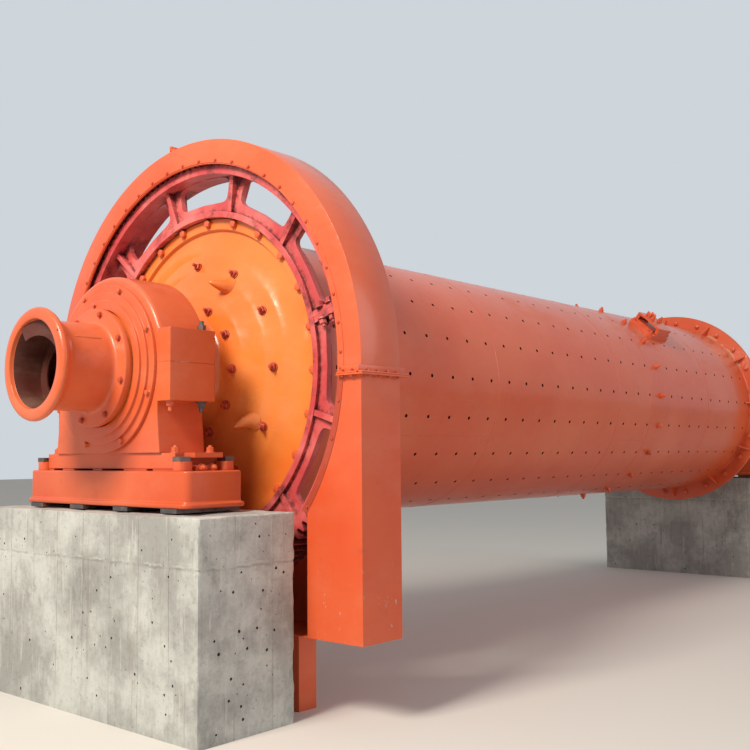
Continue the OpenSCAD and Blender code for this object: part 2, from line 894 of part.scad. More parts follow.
// Half of the girth gear above the split line, which lies at angle zero
module gear_half() {
    half_spokes = spoke_count / 2;
    translate([0, 0, gear_z0])
        linear_extrude(gear_w)
            difference() {
                polygon(half_gear_outline());
                circle(r = gear_rim_r);
            }
    difference() {
        revolve([[gear_hub_r - 5, gear_mid_z - gear_web_t / 2], [gear_rim_r + 5, gear_mid_z - gear_web_t / 2],
            [gear_rim_r + 5, gear_mid_z + gear_web_t / 2], [gear_hub_r - 5, gear_mid_z + gear_web_t / 2]], 0, 180);
        for (i = [0 : half_spokes - 1])
            translate([0, 0, gear_mid_z - gear_web_t])
                linear_extrude(2 * gear_web_t)
                    polygon(window_outline((i + 0.5) * 360 / spoke_count));
    }
    revolve([[gear_bore_r, 0], [gear_hub_r, 0], [gear_hub_r, gear_hub_z], [gear_bore_r, gear_hub_z]], 0, 180);
    for (i = [1 : half_spokes - 1])
        rotate([0, 0, i * 360 / spoke_count])
            spoke_rib(-rib_t / 2, rib_t / 2);
    spoke_rib(0, rib_t);
    rotate([0, 0, 180])
        spoke_rib(-rib_t, 0);
}

// Radial rib of a spoke, between hub ring and rim, at angle zero
module spoke_rib(low, high) {
    translate([0, high, 0])
        rotate([90, 0, 0])
            linear_extrude(high - low)
                polygon([[gear_hub_r - 5, 5], [gear_rim_r + 5, gear_z0 + rib_rise],
                    [gear_rim_r + 5, gear_hub_z + rib_rise], [gear_hub_r - 5, gear_hub_z - 5]]);
}

module gear_upper() {
    color(CRIMSON)
        near_end()
            rotate([0, 0, spoke_angle])
                gear_half();
}

module gear_lower() {
    color(CRIMSON)
        near_end()
            rotate([0, 0, spoke_angle + 180])
                gear_half();
}

near_pier();
far_pier();
near_packing();
far_packing();
near_sole_plate();
far_sole_plate();
near_bearing_base();
far_bearing_base();
near_bush();
far_bush();
near_bearing_cap();
far_bearing_cap();
near_outer_cover();
far_outer_cover();
near_inner_cover();
far_inner_cover();
near_foot_clamps();
far_foot_clamps();
guard_crown_right();
guard_crown_left();
guard_leg_right();
guard_leg_left();
guard_pan();
guard_posts();
shell();
near_flange();
far_flange();
near_head();
far_head();
near_head_lugs();
far_head_lugs();
gear_upper();
gear_lower();
near_snout();
far_snout();
manhole_frame();
manhole_cover();
manhole_clamp();
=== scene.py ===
"""Tube ball mill on two concrete piers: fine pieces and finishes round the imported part.

Metres throughout. X runs along the mill's axis, -Y is the side seen and Z is up.
Each end of the mill has its own frame: a radius and a direction about the axis, with
direction 0 towards -Y and 90 degrees upwards, and a distance outwards from the end
flange of the shell. Both ends are built from the same sizes, and the far end mirrors.
"""

from __future__ import annotations

import logging
import math
import random
from dataclasses import dataclass
from enum import Enum
from typing import Any, Callable, Iterable, Sequence

import bmesh
import bpy
from mathutils import Matrix, Vector, noise

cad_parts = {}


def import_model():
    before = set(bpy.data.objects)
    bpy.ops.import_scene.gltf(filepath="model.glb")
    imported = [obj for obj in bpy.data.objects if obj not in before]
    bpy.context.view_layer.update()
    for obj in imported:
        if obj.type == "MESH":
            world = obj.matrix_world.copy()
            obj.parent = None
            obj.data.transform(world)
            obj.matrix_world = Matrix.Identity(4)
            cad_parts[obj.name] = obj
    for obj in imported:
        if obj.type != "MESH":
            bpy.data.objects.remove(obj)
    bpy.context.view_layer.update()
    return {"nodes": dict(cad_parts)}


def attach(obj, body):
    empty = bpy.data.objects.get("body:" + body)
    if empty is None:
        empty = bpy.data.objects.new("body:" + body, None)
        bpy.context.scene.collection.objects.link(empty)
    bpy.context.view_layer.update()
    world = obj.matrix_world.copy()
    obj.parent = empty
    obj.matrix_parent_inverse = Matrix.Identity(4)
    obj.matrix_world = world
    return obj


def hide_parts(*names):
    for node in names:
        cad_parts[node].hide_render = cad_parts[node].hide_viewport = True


log = logging.getLogger("ball_mill")

HALF_LEN = 3.70
AXIS_H = 2.10
SHELL_R = 1.0
CLAMP_TOP = AXIS_H - 0.583
FLANGE_CIRCLE = 1.061
FLANGE_BOLTS = 24
ROUND_STEPS = 192
SMOOTH_BELOW = 34.0

Ring = list[tuple[float, float]]
Stretch = tuple[float, float, float]
Socket = bpy.types.NodeSocket
Material = bpy.types.Material
Settings = dict[str | int, Any]
Links = dict[str | int, bpy.types.NodeSocket]


class End(Enum):
    """The two ends of the mill, with their direction along X."""

    NEAR = -1
    FAR = 1

    @property
    def label(self) -> str:
        """Name that the end's pieces start with."""
        return self.name.lower()

    def matrix(self, out: float = 0.0) -> Matrix:
        """Frame of this end: x towards -Y, y up, z outwards, origin on the axis.

        Args:
            out: distance of the origin from the shell's end flange, outwards.

        Returns:
            The matrix from that frame to the row's frame.
        """
        s = self.value
        return Matrix(
            ((0, 0, s, s * (HALF_LEN + out)), (-1, 0, 0, 0), (0, 1, 0, AXIS_H), (0, 0, 0, 1))
        )


class Body(Enum):
    """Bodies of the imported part."""

    FIXED = "root"
    DRUM = "drum"


class Slot(Enum):
    """Material slots of the record."""

    ENAMEL = "enamel"
    GEAR = "gear_red"
    CONCRETE = "concrete"
    STEEL = "steel"


def polar(radius: float, degrees: float, out: float = 0.0) -> Vector:
    """Point of an end's frame at a radius and a direction about the axis."""
    a = math.radians(degrees)
    return Vector((radius * math.cos(a), radius * math.sin(a), out))


def on_drum(x: float, degrees: float, radius: float) -> Vector:
    """Point at a place along X, a direction and a radius about the mill's axis."""
    a = math.radians(degrees)
    return Vector((x, -radius * math.cos(a), AXIS_H + radius * math.sin(a)))


def linear(hex_colour: str) -> tuple[float, float, float, float]:
    """Turns an sRGB hex colour to linear RGBA.

    Args:
        hex_colour: six hex digits, with or without a leading #.

    Returns:
        Linear red, green, blue and an alpha of 1.
    """
    digits = hex_colour.lstrip("#")
    values = [int(digits[i : i + 2], 16) / 255 for i in (0, 2, 4)]
    r, g, b = (v / 12.92 if v <= 0.04045 else ((v + 0.055) / 1.055) ** 2.4 for v in values)
    return (r, g, b, 1.0)


def add_node(
    tree: bpy.types.NodeTree,
    kind: str,
    settings: Settings | None = None,
    links: Links | None = None,
) -> bpy.types.Node:
    """Adds a node with its settings and links.

    Args:
        tree: node tree that takes the node.
        kind: Blender's name of the node type.
        settings: values by socket name or number, or by property name in lower case.
        links: source sockets by the name or number of the socket that they feed.

    Returns:
        The new node.
    """
    node = tree.nodes.new(kind)
    settings = settings or {}
    names = [key for key in settings if isinstance(key, str) and key[0].islower()]
    for key in names:
        setattr(node, key, settings[key])
    for key in (key for key in settings if key not in names):
        node.inputs[key].default_value = settings[key]
    for key, source in (links or {}).items():
        tree.links.new(source, node.inputs[key])
    return node


class MaterialWriter:
    """Node tree of one material, with the few chains that the finishes share."""

    def __init__(self, name: str) -> None:
        """Starts an empty material that reads object coordinates, in metres."""
        self.material = bpy.data.materials.new(name)
        self.material.use_nodes = True
        self.tree = self.material.node_tree
        self.tree.nodes.clear()
        self.coords = self.node("ShaderNodeTexCoord").outputs["Object"]

    def node(
        self, kind: str, settings: Settings | None = None, links: Links | None = None
    ) -> bpy.types.Node:
        """Adds a node to this material."""
        return add_node(self.tree, kind, settings, links)

    def noise(
        self, size_mm: float, detail: float = 3.0, stretch: Stretch = (1, 1, 1), rough: float = 0.55
    ) -> Socket:
        """Noise whose lumps are about as large as given.

        Args:
            size_mm: size of a lump in millimetres.
            detail: octaves of finer noise.
            stretch: factors that lengthen the lumps along each axis.
            rough: share that each finer octave adds.

        Returns:
            The noise value's socket.
        """
        source = self.coords
        if stretch != (1, 1, 1):
            scale = {"Scale": [1 / s for s in stretch]}
            source = self.node("ShaderNodeMapping", scale, {"Vector": source}).outputs[0]
        settings = {"Scale": 1000.0 / size_mm, "Detail": detail, "Roughness": rough}
        return self.node("ShaderNodeTexNoise", settings, {"Vector": source}).outputs[0]

    def ramp(
        self, source: Socket, low: float, high: float, start: float = 0.0, end: float = 1.0
    ) -> Socket:
        """Maps the range from low to high smoothly to start to end."""
        settings = {"interpolation_type": "SMOOTHSTEP", 1: low, 2: high, 3: start, 4: end}
        return self.node("ShaderNodeMapRange", settings, {0: source}).outputs[0]

    def calc(self, operation: str, a: Socket, b: Socket | float = 0.0) -> Socket:
        """Result of an operation on a value and another value or a number."""
        if isinstance(b, (int, float)):
            return self.node("ShaderNodeMath", {"operation": operation, 1: b}, {0: a}).outputs[0]
        return self.node("ShaderNodeMath", {"operation": operation}, {0: a, 1: b}).outputs[0]

    def multiply(self, a: Socket, b: Socket | float) -> Socket:
        """Product of a value and another value or a number."""
        return self.calc("MULTIPLY", a, b)

    def band(self, source: Socket, low: float, high: float, soft: float) -> Socket:
        """1 between low and high and 0 outside, with soft ends of the given width."""
        start = self.ramp(source, low, low + soft)
        return self.multiply(start, self.ramp(source, high - soft, high, 1.0, 0.0))

    def along(self, axis: int, source: Socket | None = None) -> Socket:
        """Part of a vector along an axis, and of the place itself where none is given."""
        return self.node("ShaderNodeSeparateXYZ", links={0: source or self.coords}).outputs[axis]

    def stain(
        self, colour: Socket | str, tint: str, source: Socket, low: float, high: float, share: float
    ) -> Socket:
        """Colour with a share of a tint where the noise is high."""
        return self.blend(self.ramp(source, low, high, 0.0, share), colour, tint)

    def blend(self, factor: Socket, a: Socket | str, b: Socket | str) -> Socket:
        """Mixes two colours.

        Args:
            factor: 0 for the first and 1 for the second colour.
            a: first colour, a socket or a hex colour.
            b: second colour, a socket or a hex colour.

        Returns:
            The mixed colour's socket.
        """
        settings: Settings = {"data_type": "RGBA"}
        links: Links = {0: factor}
        for socket, colour in ((6, a), (7, b)):
            if isinstance(colour, str):
                settings[socket] = linear(colour)
            else:
                links[socket] = colour
        return self.node("ShaderNodeMix", settings, links).outputs[2]

    def rounding(self, mm: float) -> Socket:
        """Normal that runs softly round the sharp edges of a casting."""
        return self.node("ShaderNodeBevel", {"samples": 4, "Radius": mm / 1000.0}).outputs[0]

    def bump(self, height: Socket, mm: float, normal: Socket | None = None) -> Socket:
        """Bump on top of an earlier one.

        Args:
            height: value that rises from 0 to 1.
            mm: depth of the bump in millimetres.
            normal: the earlier bump, if any.

        Returns:
            The normal's socket.
        """
        links = {"Height": height} if normal is None else {"Height": height, "Normal": normal}
        settings = {"Distance": mm / 1000.0, "Strength": 1.0}
        return self.node("ShaderNodeBump", settings, links).outputs[0]

    def surface(self, settings: Settings, links: Links) -> Material:
        """Ends the material with its shader.

        Args:
            settings: constant values of the shader's own sockets.
            links: sockets that vary over the surface.

        Returns:
            The finished material.
        """
        shader = self.node("ShaderNodeBsdfPrincipled", settings, links)
        self.node("ShaderNodeOutputMaterial", links={"Surface": shader.outputs[0]})
        return self.material


@dataclass(frozen=True)
class AlkydEnamel:
    """Brushed and sprayed alkyd enamel on steel or cast iron.

    It gives a wet, slightly wavy gloss with sags, thin places where the red oxide
    primer shows through, a film of building dust and small chips.
    """

    name: str
    base: str
    faded: str = "#DD6438"
    primer: str = "#8E3226"
    dust: str = "#D3B49B"
    bare: str = "#6E6660"
    wave_mm: float = 70.0
    wave_depth_mm: float = 1.2
    grain_mm: float = 18.0
    grain_depth_mm: float = 0.25
    dust_share: float = 0.08
    primer_share: float = 0.2
    chips: float = 0.72
    chip_mm: float = 26.0
    chip_stretch: Stretch = (1, 1, 1)
    chips_below: float = 0.0
    roughness: float = 0.3
    gloss: float = 0.2
    edge_mm: float = 0.0

    def build(self) -> Material:
        """Builds the finish.

        Returns:
            The enamel as a material.
        """
        w = MaterialWriter(self.name)
        colour = w.blend(w.ramp(w.noise(900, 3), 0.35, 0.7), self.base, self.faded)
        thin = w.noise(190, 8, rough=0.78)
        colour = w.stain(colour, self.primer, thin, 0.56, 0.7, self.primer_share)
        film = w.ramp(w.noise(420, 6, (1.6, 1.6, 0.7), 0.7), 0.42, 0.75, 0.0, self.dust_share)
        colour = w.blend(film, colour, self.dust)
        flecks = w.noise(self.chip_mm, 4, self.chip_stretch, 0.7)
        if self.chips_below > 0:
            patches = w.ramp(w.along(2), self.chips_below - 0.3, self.chips_below, 1.0, 0.0)
        else:
            patches = w.ramp(w.noise(380, 2), 0.5, 0.7)
        chip = w.multiply(w.ramp(flecks, self.chips, self.chips + 0.02), patches)
        colour = w.blend(chip, colour, self.bare)
        rough = w.ramp(film, 0.0, self.dust_share + 0.01, self.roughness, self.roughness + 0.22)
        edge = w.rounding(self.edge_mm) if self.edge_mm > 0 else None
        wave = w.bump(w.noise(self.wave_mm, 1), self.wave_depth_mm, edge)
        normal = w.bump(w.noise(self.grain_mm, 3), self.grain_depth_mm, wave)
        normal = w.bump(w.ramp(chip, 0, 1, 1, 0), 0.6, normal)
        return w.surface(
            {"IOR": 1.5, "Specular IOR Level": 0.4, "Coat Weight": self.gloss, "Coat Roughness": 0.12},
            {"Base Color": colour, "Roughness": rough, "Normal": normal},
        )


@dataclass(frozen=True)
class PrimedCasting:
    """Crimson primer on sand-cast steel.

    It gives a satin skin over the casting's coarse grain, with pale brush marks and
    black dirt in random patches, and painted shade that darkens its corners and pockets.
    """

    name: str
    base: str = "#C4494A"
    worn: str = "#E07570"
    grime_and_shade: str = "#3A1418"

    def build(self) -> Material:
        """Builds the finish.

        Returns:
            The primed casting as a material.
        """
        w = MaterialWriter(self.name)
        colour = w.blend(w.ramp(w.noise(300, 4), 0.38, 0.68), self.base, self.worn)
        dirt = w.ramp(w.noise(170, 6, rough=0.7), 0.5, 0.7, 0.0, 0.75)
        colour = w.blend(dirt, colour, self.grime_and_shade)
        # painted shade: corners and pockets of up to 100 mm are darkened through ambient occlusion, with
        # a broken edge
        near = w.node("ShaderNodeAmbientOcclusion", {"samples": 6, "Distance": 0.10}).outputs["AO"]
        broken = w.calc("ADD", near, w.ramp(w.noise(40, 5, rough=0.7), 0.3, 0.7, -0.22, 0.22))
        colour = w.blend(w.ramp(broken, 0.36, 0.78, 0.88, 0.0), colour, self.grime_and_shade)
        rough = w.ramp(dirt, 0.0, 0.75, 0.42, 0.7)
        normal = w.bump(w.noise(45, 2), 1.5, w.rounding(6.0))
        normal = w.bump(w.noise(9, 3), 0.5, normal)
        return w.surface(
            {"IOR": 1.5, "Coat Weight": 0.15, "Coat Roughness": 0.25},
            {"Base Color": colour, "Roughness": rough, "Normal": normal},
        )


@dataclass(frozen=True)
class BoardFormedConcrete:
    """Concrete cast against boards.

    It gives a matt, mottled grey with pale cement skin that runs down in streaks,
    darker damp patches, thin upright lines where the boards met and small air holes
    with painted shade in them.
    """

    name: str
    base: str = "#999A96"
    pale: str = "#C2C5C0"
    damp: str = "#6B6C68"
    lime: str = "#CFCFC8"
    stain: str = "#84796B"
    board_joint: str = "#6A6964"
    joint_shade: str = "#5F5E5A"
    pit_shade: str = "#4B4A47"
    pit_shade_every_mm: float = 48.0
    board_mm: float = 285.0
    first_board_mm: float = 94.0
    cold_joint_at: float = 0.935

    def board_line(self, w: MaterialWriter) -> Socket:
        """Thin upright lines on the sides.

        Args:
            w: material that takes the nodes.

        Returns:
            A socket that is 1 where two boards met and 0 elsewhere.
        """
        sway = w.ramp(w.noise(400, 2, (1, 1, 3)), 0.3, 0.7, -0.002, 0.002)
        place = w.calc("ADD", w.calc("ADD", w.along(0), w.along(1)), sway)
        place = w.calc("ADD", place, (40 * self.board_mm - self.first_board_mm) / 1000)
        gap = w.calc("PINGPONG", place, self.board_mm / 2000)
        upward = w.along(2, w.node("ShaderNodeNewGeometry").outputs["True Normal"])
        upright = w.ramp(w.calc("ABSOLUTE", upward), 0.3, 0.6, 1.0, 0.0)
        line = w.multiply(w.ramp(gap, 0.0005, 0.0035, 1.0, 0.0), upright)
        return w.multiply(line, w.ramp(w.noise(300, 3, (1, 1, 3)), 0.35, 0.6, 0.25, 1.0))

    def cold_joint(self, w: MaterialWriter, low: float, high: float) -> Socket:
        """Level band at the joint between two pours.

        Args:
            w: material that takes the nodes.
            low: lower side of the band from the joint, in metres.
            high: upper side of the band from the joint, in metres.

        Returns:
            A socket that is up to 1 in the band and 0 elsewhere.
        """
        sway = w.ramp(w.noise(90, 5, rough=0.65), 0.3, 0.7, -0.007, 0.007)
        at = self.cold_joint_at
        band = w.band(w.calc("ADD", w.along(2), sway), at + low, at + high, 0.004)
        return w.multiply(band, w.ramp(w.noise(110, 5, rough=0.75), 0.4, 0.6, 0.05, 1.0))

    def build(self) -> Material:
        """Builds the finish.

        Returns:
            The concrete as a material.
        """
        w = MaterialWriter(self.name)
        colour = w.blend(w.ramp(w.noise(520, 8, rough=0.68), 0.38, 0.64), self.base, self.pale)
        for tint, source, low, high, share in (
            (self.damp, w.noise(300, 8, (1, 1, 1.7), 0.7), 0.53, 0.68, 0.42),
            (self.lime, w.noise(26, 5, (1, 1, 9), 0.62), 0.55, 0.74, 0.55),
            (self.stain, w.noise(60, 5, (1, 1, 11), 0.6), 0.56, 0.74, 0.4),
            (self.damp, w.noise(34, 6, rough=0.72), 0.5, 0.7, 0.32),
            (self.damp, w.noise(7, 2), 0.6, 0.75, 0.3),
        ):
            colour = w.stain(colour, tint, source, low, high, share)
        line = self.board_line(w)
        colour = w.blend(w.multiply(line, 0.55), colour, self.board_joint)
        colour = w.blend(w.multiply(self.cold_joint(w, 0.002, 0.018), 0.4), colour, self.lime)
        shade = w.multiply(self.cold_joint(w, -0.012, 0.003), 0.3)
        colour = w.blend(shade, colour, self.joint_shade)
        # painted shade: the small air holes, which are only bumps, are darkened where shade would fall in
        # them
        settings = {"Scale": 1000.0 / self.pit_shade_every_mm, "Randomness": 1.0}
        cells = w.node("ShaderNodeTexVoronoi", settings, {"Vector": w.coords}).outputs[0]
        pit_shade = w.multiply(w.ramp(cells, 0.05, 0.10, 1.0, 0.0), w.ramp(w.noise(150, 2), 0.54, 0.62))
        colour = w.blend(w.multiply(pit_shade, 0.75), colour, self.pit_shade)
        normal = w.bump(w.noise(16, 3, (1, 1, 14)), 1.2)
        normal = w.bump(w.noise(60, 5, rough=0.6), 2.8, normal)
        normal = w.bump(w.ramp(line, 0, 1, 1, 0), 1.6, normal)
        normal = w.bump(w.ramp(pit_shade, 0, 1, 1, 0), 4.0, normal)
        return w.surface({"IOR": 1.5, "Roughness": 0.88}, {"Base Color": colour, "Normal": normal})


@dataclass(frozen=True)
class MildSteel:
    """Bare hot-rolled mild steel.

    It gives a dull blue-grey mill scale that rust breaks through in patches, with a
    smudged half-gloss where hands and spanners have rubbed it.
    """

    name: str
    scale_colour: str = "#6C6E70"
    rust: str = "#7A4A31"
    rust_share: float = 0.8

    def build(self) -> Material:
        """Builds the finish.

        Returns:
            The steel as a material.
        """
        w = MaterialWriter(self.name)
        patch = w.ramp(w.noise(70, 6, rough=0.7), 0.45, 0.66, 0.0, self.rust_share)
        colour = w.blend(patch, self.scale_colour, self.rust)
        rough = w.ramp(patch, 0.0, self.rust_share, 0.4, 0.85)
        metal = w.ramp(patch, 0.0, self.rust_share, 0.85, 0.05)
        normal = w.bump(w.noise(8, 4), 0.4)
        return w.surface(
            {}, {"Base Color": colour, "Roughness": rough, "Metallic": metal, "Normal": normal}
        )


@dataclass(frozen=True)
class BearingBronze:
    """Bored leaded bronze of the bush: warm brown-yellow, satin, with fine turning marks."""

    name: str
    base: str = "#A8793F"
    tarnish: str = "#6B4A2A"

    def build(self) -> Material:
        """Builds the finish.

        Returns:
            The bronze as a material.
        """
        w = MaterialWriter(self.name)
        colour = w.blend(w.ramp(w.noise(60, 4), 0.4, 0.7), self.base, self.tarnish)
        normal = w.bump(w.noise(3, 2, (8, 1, 1)), 0.1)
        return w.surface({"Metallic": 1.0, "Roughness": 0.38}, {"Base Color": colour, "Normal": normal})


class Finishes:
    """All finishes of the mill, built once."""

    def __init__(self) -> None:
        """Builds the materials."""
        self.rolled = AlkydEnamel("enamel_on_rolled_plate", "#D5562D", faded="#DB633A").build()
        self.cast = AlkydEnamel(
            "enamel_on_casting", "#D0572E", faded="#D8673C", wave_mm=110, wave_depth_mm=2.2,
            grain_mm=14, grain_depth_mm=0.6, edge_mm=9.0,
        ).build()
        self.head = AlkydEnamel(
            "enamel_on_turned_head", "#E5762F", faded="#EB8A42", wave_mm=90, wave_depth_mm=2.2,
            grain_mm=34, grain_depth_mm=0.5, dust_share=0.05, primer_share=0.14, roughness=0.2,
        ).build()
        self.legs = AlkydEnamel(
            "enamel_on_scuffed_leg", "#D6532B", faded="#DC6138", bare="#B9A79C", chips=0.65,
            chip_mm=30.0, chip_stretch=(1, 1, 2.2), chips_below=1.0,
        ).build()
        self.bolts = AlkydEnamel(
            "red_oxide_on_bolts", "#B03F26", faded="#BC4A2C", primer="#7A2A1C", roughness=0.42,
            gloss=0.1,
        ).build()
        # painted shade: a darker copy of the guard's enamel, for the lip ring's lengths below the side
        # joints, and for the dark strip along each bearing's split
        self.lip = AlkydEnamel("shaded_enamel_on_lip_ring", "#A9432F", faded="#B44B35").build()
        # painted shade: this enamel is made very dark for the deep shade in the snout's bore and on its
        # spiral, under a real dust film
        self.bore = AlkydEnamel(
            "dark_shade_enamel_in_bore", "#5C2519", faded="#4C2118", primer="#3A1A14", primer_share=0.6,
            dust_share=0.14, roughness=0.5, gloss=0.0,
        ).build()
        # pale cream enamel on raised patches of the far flange's fillet and on strips along each
        # bearing's split
        self.pale_cream = AlkydEnamel(
            "pale_cream_on_fillet", "#D9C1A2", faded="#C9AE8E", primer="#B98A66", roughness=0.6, gloss=0.0,
        ).build()
        self.inside = MildSteel("rusty_inside", "#4A3A33", "#5A3324", 0.9).build()
        self.gear = PrimedCasting("crimson_primer_on_casting").build()
        self.concrete = BoardFormedConcrete("board_formed_concrete").build()
        # painted shade with some dirt: a dark concrete for the inside of the piers' air holes
        self.pit_shade = BoardFormedConcrete(
            "painted_shade_and_dirt_in_air_holes", base="#4E4C48", pale="#5C5A55", damp="#33322F",
            lime="#66645E", stain="#403B34",
        ).build()
        self.steel = MildSteel("bare_mild_steel").build()
        self.bronze = BearingBronze("bearing_bronze").build()


class MeshWriter:
    """Collects vertices and faces of one piece, each face with its material's number."""

    def __init__(self) -> None:
        """Starts an empty piece."""
        self.points: list[Vector] = []
        self.faces: list[tuple[int, ...]] = []
        self.numbers: list[int] = []

    def add(
        self,
        points: Sequence[Vector],
        faces: Iterable[Sequence[int]],
        matrix: Matrix | None = None,
        number: int = 0,
    ) -> None:
        """Adds a mesh.

        Args:
            points: the mesh's points.
            faces: indices of the points of each face.
            matrix: where it goes.
            number: material number of its faces.
        """
        start = len(self.points)
        self.points += [matrix @ p for p in points] if matrix is not None else list(points)
        for face in faces:
            self.faces.append(tuple(start + i for i in face))
            self.numbers.append(number)

    def loft(
        self, rings: Sequence[Sequence[Vector]], matrix: Matrix | None = None, number: int = 0,
        closed: bool = False, capped: bool = True,
    ) -> None:
        """Skin over rings that have the same number of points.

        Args:
            rings: closed rings of points, in order.
            matrix: where it goes.
            number: material number.
            closed: whether the last ring joins the first.
            capped: whether the two ends are closed where the rings don't join.
        """
        n, count = len(rings[0]), len(rings)
        faces: list[tuple[int, ...]] = []
        for k in range(count if closed else count - 1):
            a, b = k * n, (k + 1) % count * n
            faces += [(a + i, b + i, b + (i + 1) % n, a + (i + 1) % n) for i in range(n)]
        if capped and not closed:
            faces += [tuple(range(n)), tuple(reversed(range((count - 1) * n, count * n)))]
        self.add([p for ring in rings for p in ring], faces, matrix, number)

    def lathe(
        self, profile: Ring, segments: int, matrix: Matrix | None = None, start: float = 0.0,
        sweep: float = 360.0, number: int = 0, level: float = 0.0,
    ) -> None:
        """Turns a closed profile of [radius, distance] pairs about the local z axis.

        Args:
            profile: the closed section, in order.
            segments: steps round the sweep.
            matrix: where it goes.
            start: first direction in degrees.
            sweep: degrees turned through.
            number: material number.
            level: depth under the start's plane at which the first end is cut level.
        """
        whole = abs(sweep - 360.0) < 1e-6
        rings = []
        for k in range(segments if whole else segments + 1):
            share = k / segments
            ring = []
            for r, z in profile:
                first = start - math.degrees(math.asin(level / r))
                ring.append(polar(r, first + (start + sweep - first) * share, z))
            rings.append(ring)
        self.loft(rings, matrix, number, whole)

    def spindle(
        self, profile: Ring, sides: int, matrix: Matrix | None = None, number: int = 0,
        turn: float = 0.0,
    ) -> None:
        """Solid of rings of the given radii at the given heights, closed at both ends.

        Args:
            profile: radius and height of each ring, from the lowest up.
            sides: points of each ring.
            matrix: where it goes.
            number: material number.
            turn: degrees that the rings are turned by.
        """
        rings = [[polar(r, turn + 360 * k / sides, z) for k in range(sides)] for r, z in profile]
        self.loft(rings, matrix, number)

    def block(
        self, low: Sequence[float], high: Sequence[float], matrix: Matrix | None = None,
        number: int = 0, chamfer: float = 0.0,
    ) -> None:
        """Box between two corners, with chamfered edges.

        Args:
            low: lowest corner.
            high: highest corner.
            matrix: where it goes.
            number: material number.
            chamfer: width of the chamfer, 0 for none.
        """
        bm = bmesh.new()
        bmesh.ops.create_cube(bm, size=1.0)
        size = [h - l for l, h in zip(low, high)]
        mid = Vector([(h + l) / 2 for l, h in zip(low, high)])
        for v in bm.verts:
            v.co = Vector([c * s for c, s in zip(v.co, size)]) + mid
        if chamfer > 0:
            width = {"offset": chamfer, "segments": 2, "profile": 0.5}
            bmesh.ops.bevel(bm, geom=bm.edges[:], affect="EDGES", **width)
        bm.verts.index_update()
        points = [v.co.copy() for v in bm.verts]
        faces = [[v.index for v in f.verts] for f in bm.faces]
        bm.free()
        self.add(points, faces, matrix, number)

    def prism(
        self, outline: Ring, low: float, high: float, matrix: Matrix | None = None, number: int = 0
    ) -> None:
        """Straight prism over a closed outline, from low to high along the local z axis."""
        rings = [[Vector((x, y, z)) for x, y in outline] for z in (low, high)]
        self.loft(rings, matrix, number)

    def piece(
        self,
        name: str,
        materials: Sequence[Material],
        body: Body,
        stands_for: Sequence[str] = (),
        slot: Slot = Slot.ENAMEL,
        smooth_below: float = SMOOTH_BELOW,
        weld: float = 0.0,
    ) -> bpy.types.Object:
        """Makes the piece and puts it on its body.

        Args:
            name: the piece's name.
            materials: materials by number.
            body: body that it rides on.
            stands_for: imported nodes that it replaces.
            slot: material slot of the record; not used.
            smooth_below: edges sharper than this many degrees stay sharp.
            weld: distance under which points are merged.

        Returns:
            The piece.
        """
        mesh = bpy.data.meshes.new(name)
        mesh.from_pydata([tuple(p) for p in self.points], [], self.faces)
        for material in materials:
            mesh.materials.append(material)
        mesh.polygons.foreach_set("material_index", self.numbers)
        bm = bmesh.new()
        bm.from_mesh(mesh)
        if weld > 0:
            bmesh.ops.remove_doubles(bm, verts=bm.verts, dist=weld)
        bmesh.ops.recalc_face_normals(bm, faces=bm.faces)
        bm.to_mesh(mesh)
        bm.free()
        return dress(in_scene(name, mesh), body, stands_for, smooth_below)


def in_scene(name: str, data: bpy.types.ID) -> bpy.types.Object:
    """Puts a mesh, a lamp or a camera in the scene as an object of that name."""
    obj = bpy.data.objects.new(name, data)
    bpy.context.scene.collection.objects.link(obj)
    return obj


def dress(
    obj: bpy.types.Object,
    body: Body,
    stands_for: Sequence[str] = (),
    smooth_below: float = SMOOTH_BELOW,
) -> bpy.types.Object:
    """Shades a piece and lets it ride on its body.

    Args:
        obj: the piece, in place.
        body: body that it rides on.
        stands_for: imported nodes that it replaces.
        smooth_below: edges sharper than this many degrees stay sharp.

    Returns:
        The piece.
    """
    obj.data.shade_smooth()
    obj.data.set_sharp_from_angle(angle=math.radians(smooth_below))
    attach(obj, body.value)
    if stands_for:
        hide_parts(*stands_for)
    log.info("%s: %d faces", obj.name, len(obj.data.polygons))
    return obj


@dataclass(frozen=True)
class Fastener:
    """Bolt head or nut on its washer, with the thread's end where it shows."""

    across: float
    height: float
    sides: int = 6
    washer: float = 0.0
    thread: float = 0.0

    def put(self, writer: MeshWriter, matrix: Matrix, number: int = 0, turn: float = 0.0) -> None:
        """Adds one fastener, standing on the local xy plane.

        Args:
            writer: mesh that takes it.
            matrix: where it stands.
            number: material number.
            turn: degrees that its head is turned by.
        """
        corner = self.across / 2 / math.cos(math.pi / self.sides)
        cut = 0.12 * self.across
        base = 0.0
        if self.washer > 0:
            r = 0.62 * self.across * (1.15 if self.sides == 6 else 1.3)
            edge = 0.15 * self.washer
            disc = [(r, -0.004), (r, self.washer - edge), (r - edge, self.washer)]
            writer.spindle(disc, 20, matrix, number)
            base = self.washer - 0.001
        top = base + self.height
        head = [
            (corner - cut / 3, base), (corner, base + cut / 3), (corner, top - cut / 2),
            (corner - cut, top),
        ]
        writer.spindle(head, self.sides, matrix, number, turn)
        if self.thread > 0:
            r = 0.3 * self.across
            end = top + self.thread
            writer.spindle([(r, top - 0.002), (r, end - 0.2 * r), (0.8 * r, end)], 14, matrix, number)


def facing(place: Vector, direction: Vector, up: Vector | None = None) -> Matrix:
    """Matrix at a place whose z axis points in a direction.

    Args:
        place: the origin.
        direction: the local z axis.
        up: direction near the local y axis.

    Returns:
        The matrix.
    """
    z = direction.normalized()
    hint = up or (Vector((0, 0, 1)) if abs(z.z) < 0.9 else Vector((1, 0, 0)))
    x = hint.cross(z).normalized()
    y = z.cross(x)
    m = Matrix((x, y, z)).transposed().to_4x4()
    m.translation = place
    return m


